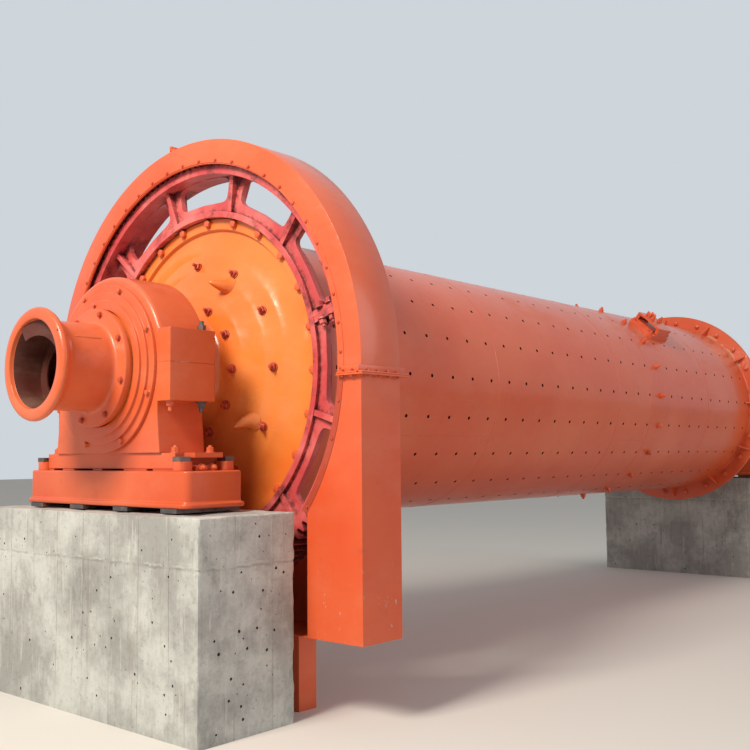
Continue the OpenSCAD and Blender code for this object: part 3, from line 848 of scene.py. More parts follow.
def round_copy(
    frame: dict[str, Any],
    node: str,
    width: float,
    material: Material,
    body: Body = Body.FIXED,
    other: Material | None = None,
    above: float = 0.0,
) -> bpy.types.Object:
    """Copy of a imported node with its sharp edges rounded, which stands for the node.

    Args:
        node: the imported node.
        width: width of the rounding.
        material: finish of the copy.
        body: body that it rides on.
        other: finish of the faces whose middle is higher than above, if any.
        above: height over which the other finish is used.

    Returns:
        The copy.
    """
    mesh = frame["nodes"][node].data.copy()
    mesh.name = node + "_rounded"
    mesh.materials.clear()
    for finish in (material, other):
        if finish is not None:
            mesh.materials.append(finish)
    bm = bmesh.new()
    bm.from_mesh(mesh)
    bmesh.ops.remove_doubles(bm, verts=bm.verts, dist=2e-5)
    bmesh.ops.dissolve_limit(bm, angle_limit=math.radians(1.0), verts=bm.verts, edges=bm.edges)
    bmesh.ops.recalc_face_normals(bm, faces=bm.faces)
    for face in bm.faces:
        face.material_index = int(other is not None and face.calc_center_median().z > above)
    bm.to_mesh(mesh)
    bm.free()
    obj = in_scene(mesh.name, mesh)
    bevel = obj.modifiers.new("rounding", "BEVEL")
    bevel.width = width
    bevel.segments = 2
    bevel.limit_method = "ANGLE"
    bevel.angle_limit = math.radians(32)
    bevel.harden_normals = True
    return dress(obj, body, (node,))


@dataclass(frozen=True)
class SoftLamp:
    """Round area lamp that looks at a point."""

    name: str
    place: tuple[float, float, float]
    target: tuple[float, float, float]
    size: float
    power: float
    colour: str

    def hang(self) -> None:
        """Puts the lamp in the scene."""
        data = bpy.data.lights.new(self.name, "AREA")
        data.shape = "DISK"
        data.size = self.size
        data.energy = self.power
        data.color = linear(self.colour)[:3]
        aim = Vector(self.place) - Vector(self.target)
        in_scene(self.name, data).matrix_world = facing(Vector(self.place), aim)


@dataclass(frozen=True)
class Setting:
    """Floor, background, lamps and the camera at the photograph's viewing angle."""

    camera_at: tuple[float, float, float] = (-8.042, -5.317, 1.548)
    yaw: float = 0.7206
    pitch: float = 0.0811
    roll: float = 0.0091
    lens_mm: float = 46.77
    sensor_mm: float = 36.0
    floor_half: float = 60.0
    floor_colour: str = "#D9D6D0"
    sky_colour: str = "#CED5DB"
    sky_light: float = 0.38
    key: SoftLamp = SoftLamp("key", (-13.0, -1.5, 9.5), (-3.0, 0.0, 1.8), 4.0, 1800.0, "#FFF4E6")
    fill: SoftLamp = SoftLamp("fill", (4.0, -14.0, 7.0), (0.5, 0.0, 1.8), 9.0, 400.0, "#F2F6FF")

    def camera(self) -> None:
        """Sets the camera up, level but for its pitch and a slight roll."""
        data = bpy.data.cameras.new("view")
        data.lens = self.lens_mm
        data.sensor_width = self.sensor_mm
        data.clip_end = 200.0
        camera = in_scene("view", data)
        camera.matrix_world = (
            Matrix.Translation(self.camera_at)
            @ Matrix.Rotation(self.yaw - math.pi / 2, 4, "Z")
            @ Matrix.Rotation(math.pi / 2 + self.pitch, 4, "X")
            @ Matrix.Rotation(-self.roll, 4, "Z")
        )
        bpy.context.scene.camera = camera

    def floor(self) -> None:
        """Lays a plain pale floor that keeps the shadow."""
        w = MaterialWriter("plain_floor")
        material = w.surface({"Base Color": linear(self.floor_colour), "Roughness": 0.9}, {})
        mesh = bpy.data.meshes.new("floor")
        h = self.floor_half
        mesh.from_pydata([(-h, -h, 0), (h, -h, 0), (h, h, 0), (-h, h, 0)], [], [(0, 1, 2, 3)])
        mesh.materials.append(material)
        obj = in_scene("floor", mesh)

    def world(self) -> None:
        """Gives a pale background and plain soft light from all round."""
        world = bpy.data.worlds.new("plain_studio")
        bpy.context.scene.world = world
        world.use_nodes = True
        tree = world.node_tree
        tree.nodes.clear()
        path = add_node(tree, "ShaderNodeLightPath").outputs
        seen = path["Is Camera Ray"]
        for ray in ("Is Glossy Ray", "Is Transmission Ray"):
            links = {0: seen, 1: path[ray]}
            seen = add_node(tree, "ShaderNodeMath", {"operation": "MAXIMUM"}, links).outputs[0]
        light, shown = (
            add_node(tree, "ShaderNodeBackground", {"Color": linear(colour), "Strength": strength})
            for colour, strength in (("#FFFFFF", self.sky_light), (self.sky_colour, 1.0))
        )
        links = {0: seen, 1: light.outputs[0], 2: shown.outputs[0]}
        mix = add_node(tree, "ShaderNodeMixShader", None, links)
        add_node(tree, "ShaderNodeOutputWorld", None, {"Surface": mix.outputs[0]})

    def build(self) -> None:
        """Builds the setting."""
        self.camera()
        self.floor()
        self.world()
        for lamp in (self.key, self.fill):
            lamp.hang()
        bpy.context.scene.view_settings.view_transform = "Standard"


@dataclass
class DrilledShell:
    """Rolled shell with its rows of liner bolt holes, end flanges, gussets and weld seams."""

    finishes: Finishes
    thickness: float = 0.020
    flange_r: float = 1.150
    flange_t: float = 0.040
    hole_r: float = 0.0135
    pitch: float = 0.250
    columns: int = 29
    rows: int = 21
    first_row: float = 0.6
    diaphragm_column: int = 19
    ring_points: int = 16
    manhole_span: tuple[float, float] = (1.47, 1.94)
    manhole_row: int = 3
    seam_places: tuple[float, ...] = (-1.64, 0.38, 1.06, 2.44)
    seam_angles: tuple[float, ...] = (-24.6, 159.0, -25.8, 141.0, -33.0)
    gusset_first: float = 1.0
    gussets: int = 12
    gusset_t: float = 0.014
    seam_steps: int = 720
    seam_step: float = 0.012
    bead_half: float = 0.009
    bead_high: float = 0.0016

    @property
    def first_column(self) -> float:
        """Place of the first column of holes along X."""
        return -self.pitch * (self.columns - 1) / 2

    @property
    def inner_r(self) -> float:
        """Radius of the skin's inside."""
        return SHELL_R - self.thickness

    def under_manhole(self, x: float, row: int) -> bool:
        """Says whether the manhole's frame covers the hole of a column and row."""
        return self.manhole_span[0] < x < self.manhole_span[1] and row == self.manhole_row

    def cell(self, w: MeshWriter, x: float, degrees: float, plain: bool) -> None:
        """Adds the skin round one hole, outside, through the hole and inside.

        Args:
            w: mesh that takes it.
            x: place of the hole along X.
            degrees: direction of the hole.
            plain: whether there is no hole.
        """
        quarter, step = self.ring_points // 4, 360.0 / self.rows
        sides = [-1 + 2 * k / quarter for k in range(quarter)]
        border = [(1, t) for t in sides] + [(-t, 1) for t in sides]
        border += [(-1, -t) for t in sides] + [(t, -1) for t in sides]
        rings: list[list[Vector]] = []
        for r, shares in ((SHELL_R, (1.0, 0.66, 0.36, 0.0)), (self.inner_r, (0.0, 0.5, 1.0))):
            for share in shares:
                ring = []
                for bx, by in border:
                    angle = math.atan2(by, bx)
                    hx = self.hole_r * math.cos(angle)
                    ha = math.degrees(self.hole_r * math.sin(angle) / SHELL_R)
                    dx, da = bx * self.pitch / 2 - hx, by * step / 2 - ha
                    ring.append(on_drum(x + hx + dx * share, degrees + ha + da * share, r))
                rings.append(ring)
        w.loft(rings[:4], capped=False)
        w.loft(rings[4:], number=1, capped=False)
        if plain:
            for number in (0, 1):
                w.add(rings[3 + number], [tuple(range(self.ring_points))], None, number)
        else:
            w.loft(rings[3:5], number=1, capped=False)

    def skin(self) -> None:
        """Builds the drilled skin as one mesh with real holes and thickness."""
        w = MeshWriter()
        step = 360.0 / self.rows
        for c in range(self.columns):
            x = self.first_column + c * self.pitch
            for j in range(self.rows):
                plain = c == self.diaphragm_column or self.under_manhole(x, j)
                self.cell(w, x, self.first_row + j * step, plain)
        per_turn = self.rows * self.ring_points // 4

        def hoop(x: float, r: float) -> list[Vector]:
            """Ring of points round the shell whose places match the holes' cells."""
            first = self.first_row - step / 2
            return [on_drum(x, first + 360 * k / per_turn, r) for k in range(per_turn)]

        edge = self.first_column - self.pitch / 2
        for x0, x1 in ((-HALF_LEN, edge), (-edge, HALF_LEN)):
            for r, number in ((SHELL_R, 0), (self.inner_r, 1)):
                w.loft([hoop(x0, r), hoop(x1, r)], number=number, capped=False)
        for x in (-HALF_LEN, HALF_LEN):
            w.loft([hoop(x, SHELL_R), hoop(x, self.inner_r)], number=1, capped=False)
        w.piece(
            "drilled_shell", [self.finishes.rolled, self.finishes.inside], Body.DRUM, ("shell",),
            smooth_below=40, weld=1e-5,
        )

    def flanges(self) -> None:
        """Builds the welded end flanges, their gussets and the weld fillets."""
        w = MeshWriter()
        c = 0.003
        for end in End:
            m = end.matrix(-self.flange_t)
            r0, r1, t = SHELL_R - 0.001, self.flange_r, self.flange_t
            rim = [(r0, 0), (r1 - c, 0), (r1, c), (r1, t - c), (r1 - c, t), (r0, t)]
            w.lathe(rim, ROUND_STEPS, m)
            weld = [(SHELL_R + up, z) for up, z in ((0.003, -0.011), (0.010, -0.003), (0.013, 0.002))]
            w.lathe([(r0, -0.012), *weld, (r0, 0.002)], ROUND_STEPS, m)
            if end is End.FAR:
                self.pale_patches(w, m)
            top = self.flange_r - 0.040
            gusset = [
                (SHELL_R - 0.004, -0.120), (SHELL_R + 0.008, -0.120), (top, -0.020),
                (top, 0.002), (SHELL_R - 0.004, 0.002),
            ]
            stand = Matrix.Rotation(math.radians(90), 4, "X")
            for k in range(self.gussets):
                a = math.radians(self.gusset_first + k * 360 / self.gussets)
                turn = Matrix.Rotation(a, 4, "Z")
                w.prism(gusset, -self.gusset_t / 2, self.gusset_t / 2, m @ turn @ stand)
        w.piece(
            "end_flanges", [self.finishes.rolled, self.finishes.pale_cream], Body.DRUM,
            ("near_flange", "far_flange"),
        )

    def pale_patches(self, w: MeshWriter, m: Matrix) -> None:
        """Adds pale cream patches raised on the fillet between shell and flange.

        Args:
            w: mesh that takes it.
            m: frame of the flange.
        """
        rng = random.Random(5)
        for start, end in ((27.0, 31.5), (33.0, 44.5), (46.0, 48.0), (50.5, 60.5)):
            rings = []
            steps = round((end - start) / 0.4)
            for k in range(steps + 1):
                a = start + (end - start) * k / steps
                taper = min(1.0, 4.0 * min(k, steps - k) / steps + 0.05)
                wide = taper * rng.uniform(0.016, 0.030)
                high = taper * rng.uniform(0.014, 0.020)
                section = (
                    (-0.004, 0.004), (-0.004, -0.006 - wide), (0.0012, -0.004 - wide),
                    (0.004, -0.006), (0.006 + high * 0.4, -0.0015), (0.006 + high, 0.001),
                )
                rings.append([polar(SHELL_R + up, a, out) for up, out in section])
            w.loft(rings, m, 1)

    def seams(self) -> None:
        """Lays the weld beads round the shell and along it, with their ripples."""
        w = MeshWriter()
        rng = random.Random(7)

        def bead(k: int, phase: float = 0.0) -> Ring:
            """Section of the bead at a step.

            Args:
                k: the step.
                phase: shift of the ripple along the bead.

            Returns:
                Places across the bead and radii.
            """
            ripple = 1 + 0.22 * math.sin(k * 2.1 + phase) + rng.uniform(-0.1, 0.1)
            half, high = self.bead_half, self.bead_high * ripple
            crown = [(-half * 0.6, high * 0.75), (0.0, high), (half * 0.6, high * 0.75)]
            return [(dx, SHELL_R + up) for dx, up in [(-half, -0.001), *crown, (half, -0.001)]]

        for x in self.seam_places:
            phase = rng.uniform(0, 9)
            rings = []
            for k in range(self.seam_steps):
                a = 360 * k / self.seam_steps
                middle = x + 0.0012 * math.sin(5 * math.radians(a) + phase)
                rings.append([on_drum(middle + dx, a, r) for dx, r in bead(k, phase)])
            w.loft(rings, closed=True)
        places = (-HALF_LEN + self.flange_t, *self.seam_places, HALF_LEN - self.flange_t)
        for x0, x1, a in zip(places, places[1:], self.seam_angles):
            steps = int((x1 - x0) / self.seam_step)
            w.loft([
                [
                    on_drum(x0 + (x1 - x0) * k / steps, a + math.degrees(dx / SHELL_R), r)
                    for dx, r in bead(k)
                ]
                for k in range(steps + 1)
            ])
        w.piece("shell_weld_beads", [self.finishes.rolled], Body.DRUM, smooth_below=60)

    def diaphragm_bolts(self) -> None:
        """Sets the through bolts of the diaphragm's ring, with their nuts and thread ends."""
        w = MeshWriter()
        nut = Fastener(across=0.045, height=0.026, washer=0.006, thread=0.020)
        x = self.first_column + self.diaphragm_column * self.pitch
        for j in range(self.rows):
            place = on_drum(x, self.first_row + j * 360 / self.rows, SHELL_R - 0.001)
            nut.put(w, facing(place, place - Vector((x, 0, AXIS_H))), turn=17.0 * j)
        w.piece("diaphragm_bolts", [self.finishes.rolled], Body.DRUM)

    def flange_bolts(self) -> None:
        """Sets the nuts on the shell's side of both end flanges."""
        w = MeshWriter()
        nut = Fastener(across=0.046, height=0.028, washer=0.006, thread=0.018)
        for end, first in ((End.NEAR, -1.4), (End.FAR, 8.9)):
            m = end.matrix(-self.flange_t)
            for k in range(FLANGE_BOLTS):
                place = polar(FLANGE_CIRCLE, first + 360 / FLANGE_BOLTS * k, 0.001)
                nut.put(w, m @ facing(place, Vector((0, 0, -1))), turn=23.0 * k)
        w.piece("flange_nuts", [self.finishes.rolled], Body.DRUM)

    def build(self) -> None:
        """Builds the shell's pieces."""
        self.skin()
        self.flanges()
        self.seams()
        self.diaphragm_bolts()
        self.flange_bolts()


@dataclass
class TurnedHead:
    """Cast head with its trunnion, stub lugs and bolts."""

    finishes: Finishes
    end: End
    rim_r: float = 1.092
    rim_t: float = 0.060
    disc_r: float = 1.003
    disc_edge: float = 0.035
    disc_hub: float = 0.225
    journal_r: float = 0.360
    fillet_r: float = 0.080
    passage_r: float = 0.250
    trunnion_end: float = 0.930
    lug_r: float = 0.045
    lug_circle: float = 0.660
    lug_bend: float = 0.052
    lug_section: tuple[tuple[float, float], ...] = (
        (-0.016, 0.026), (0.004, 0.012), (0.018, 0.003), (0.036, -0.004), (0.056, -0.010),
        (0.076, -0.017), (0.094, -0.024), (0.108, -0.030), (0.117, -0.036), (0.122, -0.042),
    )
    bolt_phase: float = -1.4

    def disc_height(self, r: float) -> float:
        """Height of the disc's cone at a radius, outwards from the flange."""
        hub = self.journal_r + self.fillet_r
        share = (self.disc_r - r) / (self.disc_r - hub)
        return self.disc_edge + share * (self.disc_hub - self.disc_edge)

    def profile(self) -> Ring:
        """Section of the head with the turned steps of its disc."""
        hub = self.journal_r + self.fillet_r
        p: Ring = [
            (self.passage_r, self.disc_hub - 0.130), (self.disc_r - 0.040, -0.030), (0.980, -0.030),
            (0.980, 0.0), (self.rim_r, 0.0), (self.rim_r, self.rim_t - 0.004),
            (self.rim_r - 0.004, self.rim_t), (self.disc_r + 0.015, self.rim_t),
            (self.disc_r + 0.010, self.rim_t - 0.006), (self.disc_r + 0.004, self.disc_edge + 0.002),
            (self.disc_r - 0.004, self.disc_edge),
        ]
        for r in (0.842, 0.704, 0.545):
            z = self.disc_height(r)
            p += [
                (r + 0.012, self.disc_height(r + 0.012) - 0.001), (r, z + 0.0025),
                (r - 0.020, self.disc_height(r - 0.020) + 0.0025),
                (r - 0.060, self.disc_height(r - 0.060)),
            ]
        p.append((hub, self.disc_hub))
        for i in range(1, 7):
            a = math.radians(15 * i)
            rise = self.fillet_r * (1 - math.cos(a))
            p.append((hub - self.fillet_r * math.sin(a), self.disc_hub + rise))
        p += [(self.journal_r, self.trunnion_end), (self.passage_r, self.trunnion_end)]
        return p

    def horn(self, w: MeshWriter, m: Matrix, degrees: float, way: int) -> None:
        """Adds a cast lug that bends sideways towards its tip.

        Args:
            w: mesh that takes it.
            m: frame of the end.
            degrees: direction of its root about the axis.
            way: 1 to bend forwards round the head, -1 to bend back.
        """
        base = self.disc_height(self.lug_circle)
        root = m @ Matrix.Rotation(math.radians(degrees), 4, "Z")
        rings = []
        for out, r in self.lug_section:
            share = max(0.0, out / self.lug_section[-1][0])
            bend = self.lug_bend * share ** 1.8
            tilt = 1.8 * bend / max(0.02, out)
            x, y = Vector((1, 0, 0)), Vector((0, math.cos(tilt * way), -math.sin(tilt * way)))
            middle = Vector((self.lug_circle, way * bend, base + out))
            rings.append([
                middle + (self.lug_r + r) * (math.cos(a) * x + math.sin(a) * y)
                for a in (2 * math.pi * i / 28 for i in range(28))
            ])
        w.loft(rings, root)

    def build(self) -> None:
        """Builds the head, its lugs and its bolts."""
        name = self.end.label
        m = self.end.matrix()
        w = MeshWriter()
        w.lathe(self.profile(), ROUND_STEPS, m)
        head = [self.finishes.head]
        w.piece(f"{name}_turned_head", head, Body.DRUM, (f"{name}_head",), smooth_below=38)
        w = MeshWriter()
        for k in range(4):
            self.horn(w, m, 60 + 90 * k, 1 if k % 2 == 0 else -1)
        w.piece(f"{name}_stub_lugs", head, Body.DRUM, (f"{name}_head_lugs",), smooth_below=50)
        w = MeshWriter()
        big = Fastener(across=0.050, height=0.030)
        for k in range(FLANGE_BOLTS):
            a = self.bolt_phase + 360 / FLANGE_BOLTS * k
            place = polar(FLANGE_CIRCLE, a, self.rim_t - 0.001)
            big.put(w, m @ Matrix.Translation(place), turn=13.0 * k)
        w.piece(f"{name}_flange_bolts", [self.finishes.cast], Body.DRUM)
        w = MeshWriter()
        square = Fastener(across=0.038, height=0.020, sides=4, washer=0.006, thread=0.030)
        slope = math.atan2(self.disc_hub - self.disc_edge, self.disc_r - self.journal_r - self.fillet_r)
        for count, r, first in ((12, 0.750, 0.6), (12, 0.462, 1.1)):
            for k in range(count):
                a = first + 360 * k / count
                place = polar(r, a, self.disc_height(r) + 0.001)
                out = polar(math.sin(slope), a, math.cos(slope))
                square.put(w, m @ facing(place, out), turn=45 + 31.0 * k)
        w.piece(f"{name}_head_bolts", [self.finishes.bolts], Body.DRUM)


@dataclass
class Snout:
    """Flared mouth piece bolted to the trunnion's end, with the spiral inside its bore."""

    finishes: Finishes
    end: End
    tube_r: float = 0.272
    bore_r: float = 0.245
    flange_r: float = 0.370
    flange_t: float = 0.036
    flange_at: float = 0.930
    mouth_r: float = 0.341
    mouth_in: float = 0.268
    mouth_at: float = 1.367
    blade_in: float = 0.172
    blade_turns: float = 1.55
    blade_pitch: float = 0.230
    blade_steps: int = 170
    blade_first: float = 124.0
    round_steps: int = 128

    def profile(self) -> Ring:
        """Section of the snout with its thick flared mouth."""
        z0, z1, z2 = self.flange_at, self.flange_at + self.flange_t, self.mouth_at
        r, m, c = self.tube_r, self.mouth_r, self.mouth_in
        return [
            (self.bore_r, z0), (self.flange_r - 0.002, z0), (self.flange_r, z0 + 0.002),
            (self.flange_r, z1 - 0.007), (self.flange_r - 0.002, z1 - 0.002), (self.flange_r - 0.007, z1),
            (r + 0.022, z1 + 0.001), (r + 0.012, z1 + 0.005), (r + 0.005, z1 + 0.012),
            (r + 0.001, z1 + 0.022), (r, z1 + 0.040),
            (r, z2 - 0.124), (r + 0.004, z2 - 0.104), (r + 0.015, z2 - 0.084),
            (r + 0.033, z2 - 0.065), (m - 0.015, z2 - 0.050), (m - 0.005, z2 - 0.041), (m, z2 - 0.031),
            (m, z2 - 0.021), (m - 0.004, z2 - 0.012), (m - 0.011, z2 - 0.005), (m - 0.023, z2 - 0.001),
            (m - 0.036, z2), (c + 0.006, z2 - 0.0005), (c + 0.0015, z2 - 0.003), (c, z2 - 0.008),
            (c - 0.005, z2 - 0.032), (self.bore_r + 0.007, z2 - 0.062), (self.bore_r, z2 - 0.105),
        ]

    def lining(self) -> Ring:
        """Section of the skin inside the bore, which takes the dark enamel of painted shade."""
        z0, z2, b, t = self.flange_at + 0.001, self.mouth_at, self.bore_r, 0.0015
        skin = [(b, z0), (b, z2 - 0.105), (b + 0.007, z2 - 0.062), (self.mouth_in - 0.004, z2 - 0.028)]
        return [(r - t, z) for r, z in skin] + [(r + 0.001, z) for r, z in reversed(skin)]

    def blade(self) -> Sequence[Sequence[Vector]]:
        """Sections of the spiral blade, from behind the mouth into the bore."""
        rings = []
        inner = self.blade_in
        for k in range(self.blade_steps + 1):
            turned = self.blade_turns * k / self.blade_steps
            z = self.mouth_at - 0.010 - self.blade_pitch * turned
            flare = min(1.0, max(0.0, (z - self.mouth_at + 0.105) / 0.090))
            outer = self.bore_r + 0.0005 + 0.020 * flare
            section = ((outer, 0), (inner, 0.001), (inner, 0.011), (outer, 0.012))
            rings.append([polar(r, self.blade_first - 360 * turned, z - dz) for r, dz in section])
        return rings

    def build(self) -> None:
        """Builds the snout with its bolts, its weld seam and the spiral in its bore."""
        name = self.end.label
        m = self.end.matrix()
        w = MeshWriter()
        w.lathe(self.profile(), self.round_steps, m)
        w.lathe(self.lining(), self.round_steps, m, number=1)
        # painted shade: a small dark stub in the rusty finish stands where the mouth's rim hole shows
        # dark
        hole_shade_disc = facing(polar(0.325, 33, self.mouth_at - 0.006), polar(0.35, 33, 1.0))
        w.spindle([(0.0055, -0.004), (0.0055, 0.0035), (0.0040, 0.0042)], 12, m @ hole_shade_disc, 2)
        w.piece(
            f"{name}_flared_snout", [self.finishes.cast, self.finishes.bore, self.finishes.inside],
            Body.DRUM, (f"{name}_snout",), smooth_below=42,
        )
        w = MeshWriter()
        bolt = Fastener(across=0.030, height=0.018, washer=0.003)
        for k in range(8):
            place = polar(0.338, -16 + 45 * k, self.flange_at + self.flange_t - 0.001)
            bolt.put(w, m @ Matrix.Translation(place), turn=19.0 * k)
        w.piece(f"{name}_snout_bolts", [self.finishes.bolts], Body.DRUM)
        w = MeshWriter()
        rng = random.Random(11)
        for k in range(26):
            z = self.flange_at + 0.115 + k * 0.0067
            place = polar(self.tube_r - 0.001, 36 + rng.uniform(-0.25, 0.25))
            bead = m @ Matrix.Translation(Vector((0, 0, z))) @ facing(place, place)
            w.spindle([(0.0075, 0.0), (0.006, 0.002), (0.0025, 0.0034)], 10, bead)
        w.piece(f"{name}_snout_seam", [self.finishes.cast], Body.DRUM)
        w = MeshWriter()
        # the spiral takes the bore's dark enamel of painted shade
        w.loft(self.blade(), m)
        w.piece(f"{name}_feed_spiral", [self.finishes.bore], Body.DRUM, smooth_below=50)


@dataclass
class GearGuard:
    """Rolled sheet guard of the girth gear, with its bolted joints and lip ring."""

    finishes: Finishes
    outer_r: float = 1.600
    open_r: float = 1.433
    width: float = 0.344
    front: float = 0.230
    plate: float = 0.008
    lip: float = 0.044
    joint_angle: float = 97.0
    joint_drop: float = 0.086
    joint_front: float = 0.035
    joint_leg: float = 0.046
    ear: float = 0.0395
    joint_t: float = 0.010
    bolt_out: float = 0.0235
    head: Fastener = Fastener(across=0.018, height=0.011, washer=0.002)
    nut: Fastener = Fastener(across=0.018, height=0.011, washer=0.002, thread=0.004)

    def section(self) -> Ring:
        """Trough section, as radius and distance outwards from the back plate."""
        r, o, w, t, lip, c = self.outer_r, self.open_r, self.width, self.plate, self.lip, 0.003
        return [
            (o, 0), (r - c, 0), (r - c * 0.3, c * 0.3), (r, c), (r, w - c), (r - c * 0.3, w - c * 0.3),
            (r - c, w), (o + 0.001, w), (o, w - 0.001),
            (o, w - 2 * t), (o + lip, w - 2 * t), (o + lip, w - t), (r - t, w - t), (r - t, t),
            (o + lip, t), (o + lip, 2 * t), (o, 2 * t),
        ]

    def side_angle(self, w: MeshWriter, m: Matrix) -> None:
        """Adds the angle iron of a side joint, round the outside of the trough.

        Args:
            w: mesh that takes it.
            m: frame on the joint's plane, x outwards from the axis and y upwards.
        """
        r, o, f = self.outer_r, self.open_r + 0.002, self.joint_front
        t, wide, lap = self.joint_t, self.width, 0.004
        spans = ((-f, lap, t), (wide - lap, wide + f, t), (-t, lap, self.joint_leg))
        for low, high, tall in spans + ((wide - lap, wide + t, self.joint_leg),):
            w.block((o, 0.0005, low), (r, tall, high), m, 0, 0.0015)
        w.block((r - lap, 0.0005, -f), (r + self.ear, t, wide + f), m, 0, 0.0015)
        w.block((r - lap, 0.0005, -f), (r + t, self.joint_leg, wide + f), m, 0, 0.0015)

    def side_bolts(self, w: MeshWriter, m: Matrix) -> None:
        """Adds the bolts of a side joint, with their heads below."""
        places = [(self.outer_r + self.bolt_out, self.width * (k + 0.5) / 4) for k in range(4)]
        places += [(x, z) for x in (1.473, 1.546) for z in (-0.021, self.width + 0.021)]
        self.pairs(w, m, places, self.nut, self.head)

    def pairs(self, w: MeshWriter, m: Matrix, places: Ring, above: Fastener, below: Fastener) -> None:
        """Adds a fastener above and one below a joint at each place.

        Args:
            w: mesh that takes them.
            m: frame on the joint's plane, y upwards.
            places: places on that plane, as x and z.
            above: fastener on the upper side.
            below: fastener on the lower side.
        """
        for k, (x, z) in enumerate(places):
            for kind, side in ((above, 1), (below, -1)):
                place = Vector((x, side * self.joint_t, z))
                kind.put(w, m @ facing(place, Vector((0, side, 0))), turn=27.0 * k)

    def top_joint(self, w: MeshWriter, m: Matrix, side: int) -> None:
        """Adds a top joint flange.

        Args:
            w: mesh that takes it.
            m: frame on the joint's plane.
            side: side of the frame's xz plane.
        """
        r, t = self.outer_r, self.joint_t

        def leaf(reach: float, tall: float) -> None:
            """Adds one leaf of the angle iron."""
            low, high = sorted((side * 0.0005, side * tall))
            w.block((r - 0.004, low, 0), (r + reach, high, self.width), m, 0, 0.0015)

        leaf(self.ear, t)
        if side < 0:
            leaf(t, self.joint_leg)

    def top_bolts(self, w: MeshWriter, m: Matrix) -> None:
        """Adds the bolts of the top joint."""
        places = [(self.outer_r + self.bolt_out, self.width * (k + 0.5) / 4) for k in range(4)]
        self.pairs(w, m, places, self.head, self.nut)

    def lip_ring(
        self, w: MeshWriter, m: Matrix, start: float, end: float, wide: Callable[[float], float]
    ) -> None:
        """Adds a length of the ring round the opening.

        Args:
            w: mesh that takes it.
            m: frame of the guard.
            start: first direction in degrees.
            end: last direction in degrees.
            wide: share of the full width by direction.
        """
        steps = round((end - start) / 1.5)
        z = self.width
        rings = []
        for k in range(steps + 1):
            a = start + (end - start) * k / steps
            share = wide(a)
            inner, outer = 1.440 - 0.022 * share, 1.447 + 0.021 * share
            section = (
                (inner, z - 0.007), (outer, z - 0.001), (outer, z + 0.0025), (outer - 0.0025, z + 0.005),
                (inner + 0.0015, z + 0.005), (inner, z + 0.0035),
            )
            rings.append([polar(r, a, at) for r, at in section])
        w.loft(rings, m)

    def build(self) -> None:
        """Builds the crown, the lip ring, the joints and all their bolts."""
        m = End.NEAR.matrix(self.front - self.width)
        mirrored = m @ Matrix.Diagonal((-1, 1, 1, 1))
        drop = Matrix.Translation((0, -self.joint_drop, 0))
        crest = m @ Matrix.Rotation(math.radians(self.joint_angle), 4, "Z")
        for name, half, sweep, side in (
            ("guard_crown_right", m, self.joint_angle - 0.04, -1),
            ("guard_crown_left", mirrored, 180 - self.joint_angle, 1),
        ):
            w = MeshWriter()
            cut = self.joint_drop - 0.0005
            w.lathe(self.section(), round(sweep * 0.8), half, 0, sweep, level=cut)
            self.side_angle(w, half @ drop)
            self.top_joint(w, crest, side)
            w.piece(f"rolled_{name}", [self.finishes.rolled], Body.FIXED, (name,), smooth_below=30)
        w = MeshWriter()
        self.top_bolts(w, crest)
        for half in (m, mirrored):
            self.side_bolts(w, half @ drop)
        w.piece("guard_joint_bolts", [self.finishes.bolts], Body.FIXED)

        def seen_width(a: float) -> float:
            """Share of the ring's full width above the joints, less towards the top."""
            return max(0.0, math.cos(math.radians(1.3 * (a + 10)))) if a < 90 else 0.0

        w = MeshWriter()
        self.lip_ring(w, m, -3.4, 183.4, seen_width)
        w.piece("guard_lip_ring_above", [self.finishes.rolled], Body.FIXED)
        # painted shade: these lengths of the lip ring take the darker copy of the guard's enamel
        w = MeshWriter()
        for start, end in ((-38.0, -3.6), (183.6, 218.0)):
            self.lip_ring(w, m, start, end, lambda a: 0.85)
        w.piece("guard_lip_ring_below", [self.finishes.lip], Body.FIXED)
        w, nuts = MeshWriter(), MeshWriter()
        bolt = Fastener(across=0.018, height=0.009, washer=0.002)
        nut = Fastener(across=0.018, height=0.010, washer=0.002, thread=0.004)
        places = [64.3 + 6.95 * k for k in range(-9, 17)] + [-2.0, -9.5, -18.5, -36.5, 189.5, 198.5]
        for k, degrees in enumerate(places):
            r = 1.446 if degrees < 45 else 1.453
            put = m @ Matrix.Translation(polar(r, degrees, self.width + 0.002))
            bolt.put(w, put, turn=21.0 * k)
            back = facing(polar(r, degrees, self.width - 2 * self.plate), Vector((0, 0, -1)))
            nut.put(nuts, m @ back, turn=33.0 * k)
        w.piece("guard_lip_bolts", [self.finishes.bolts], Body.FIXED)
        nuts.piece("guard_lip_nuts", [self.finishes.cast], Body.FIXED)


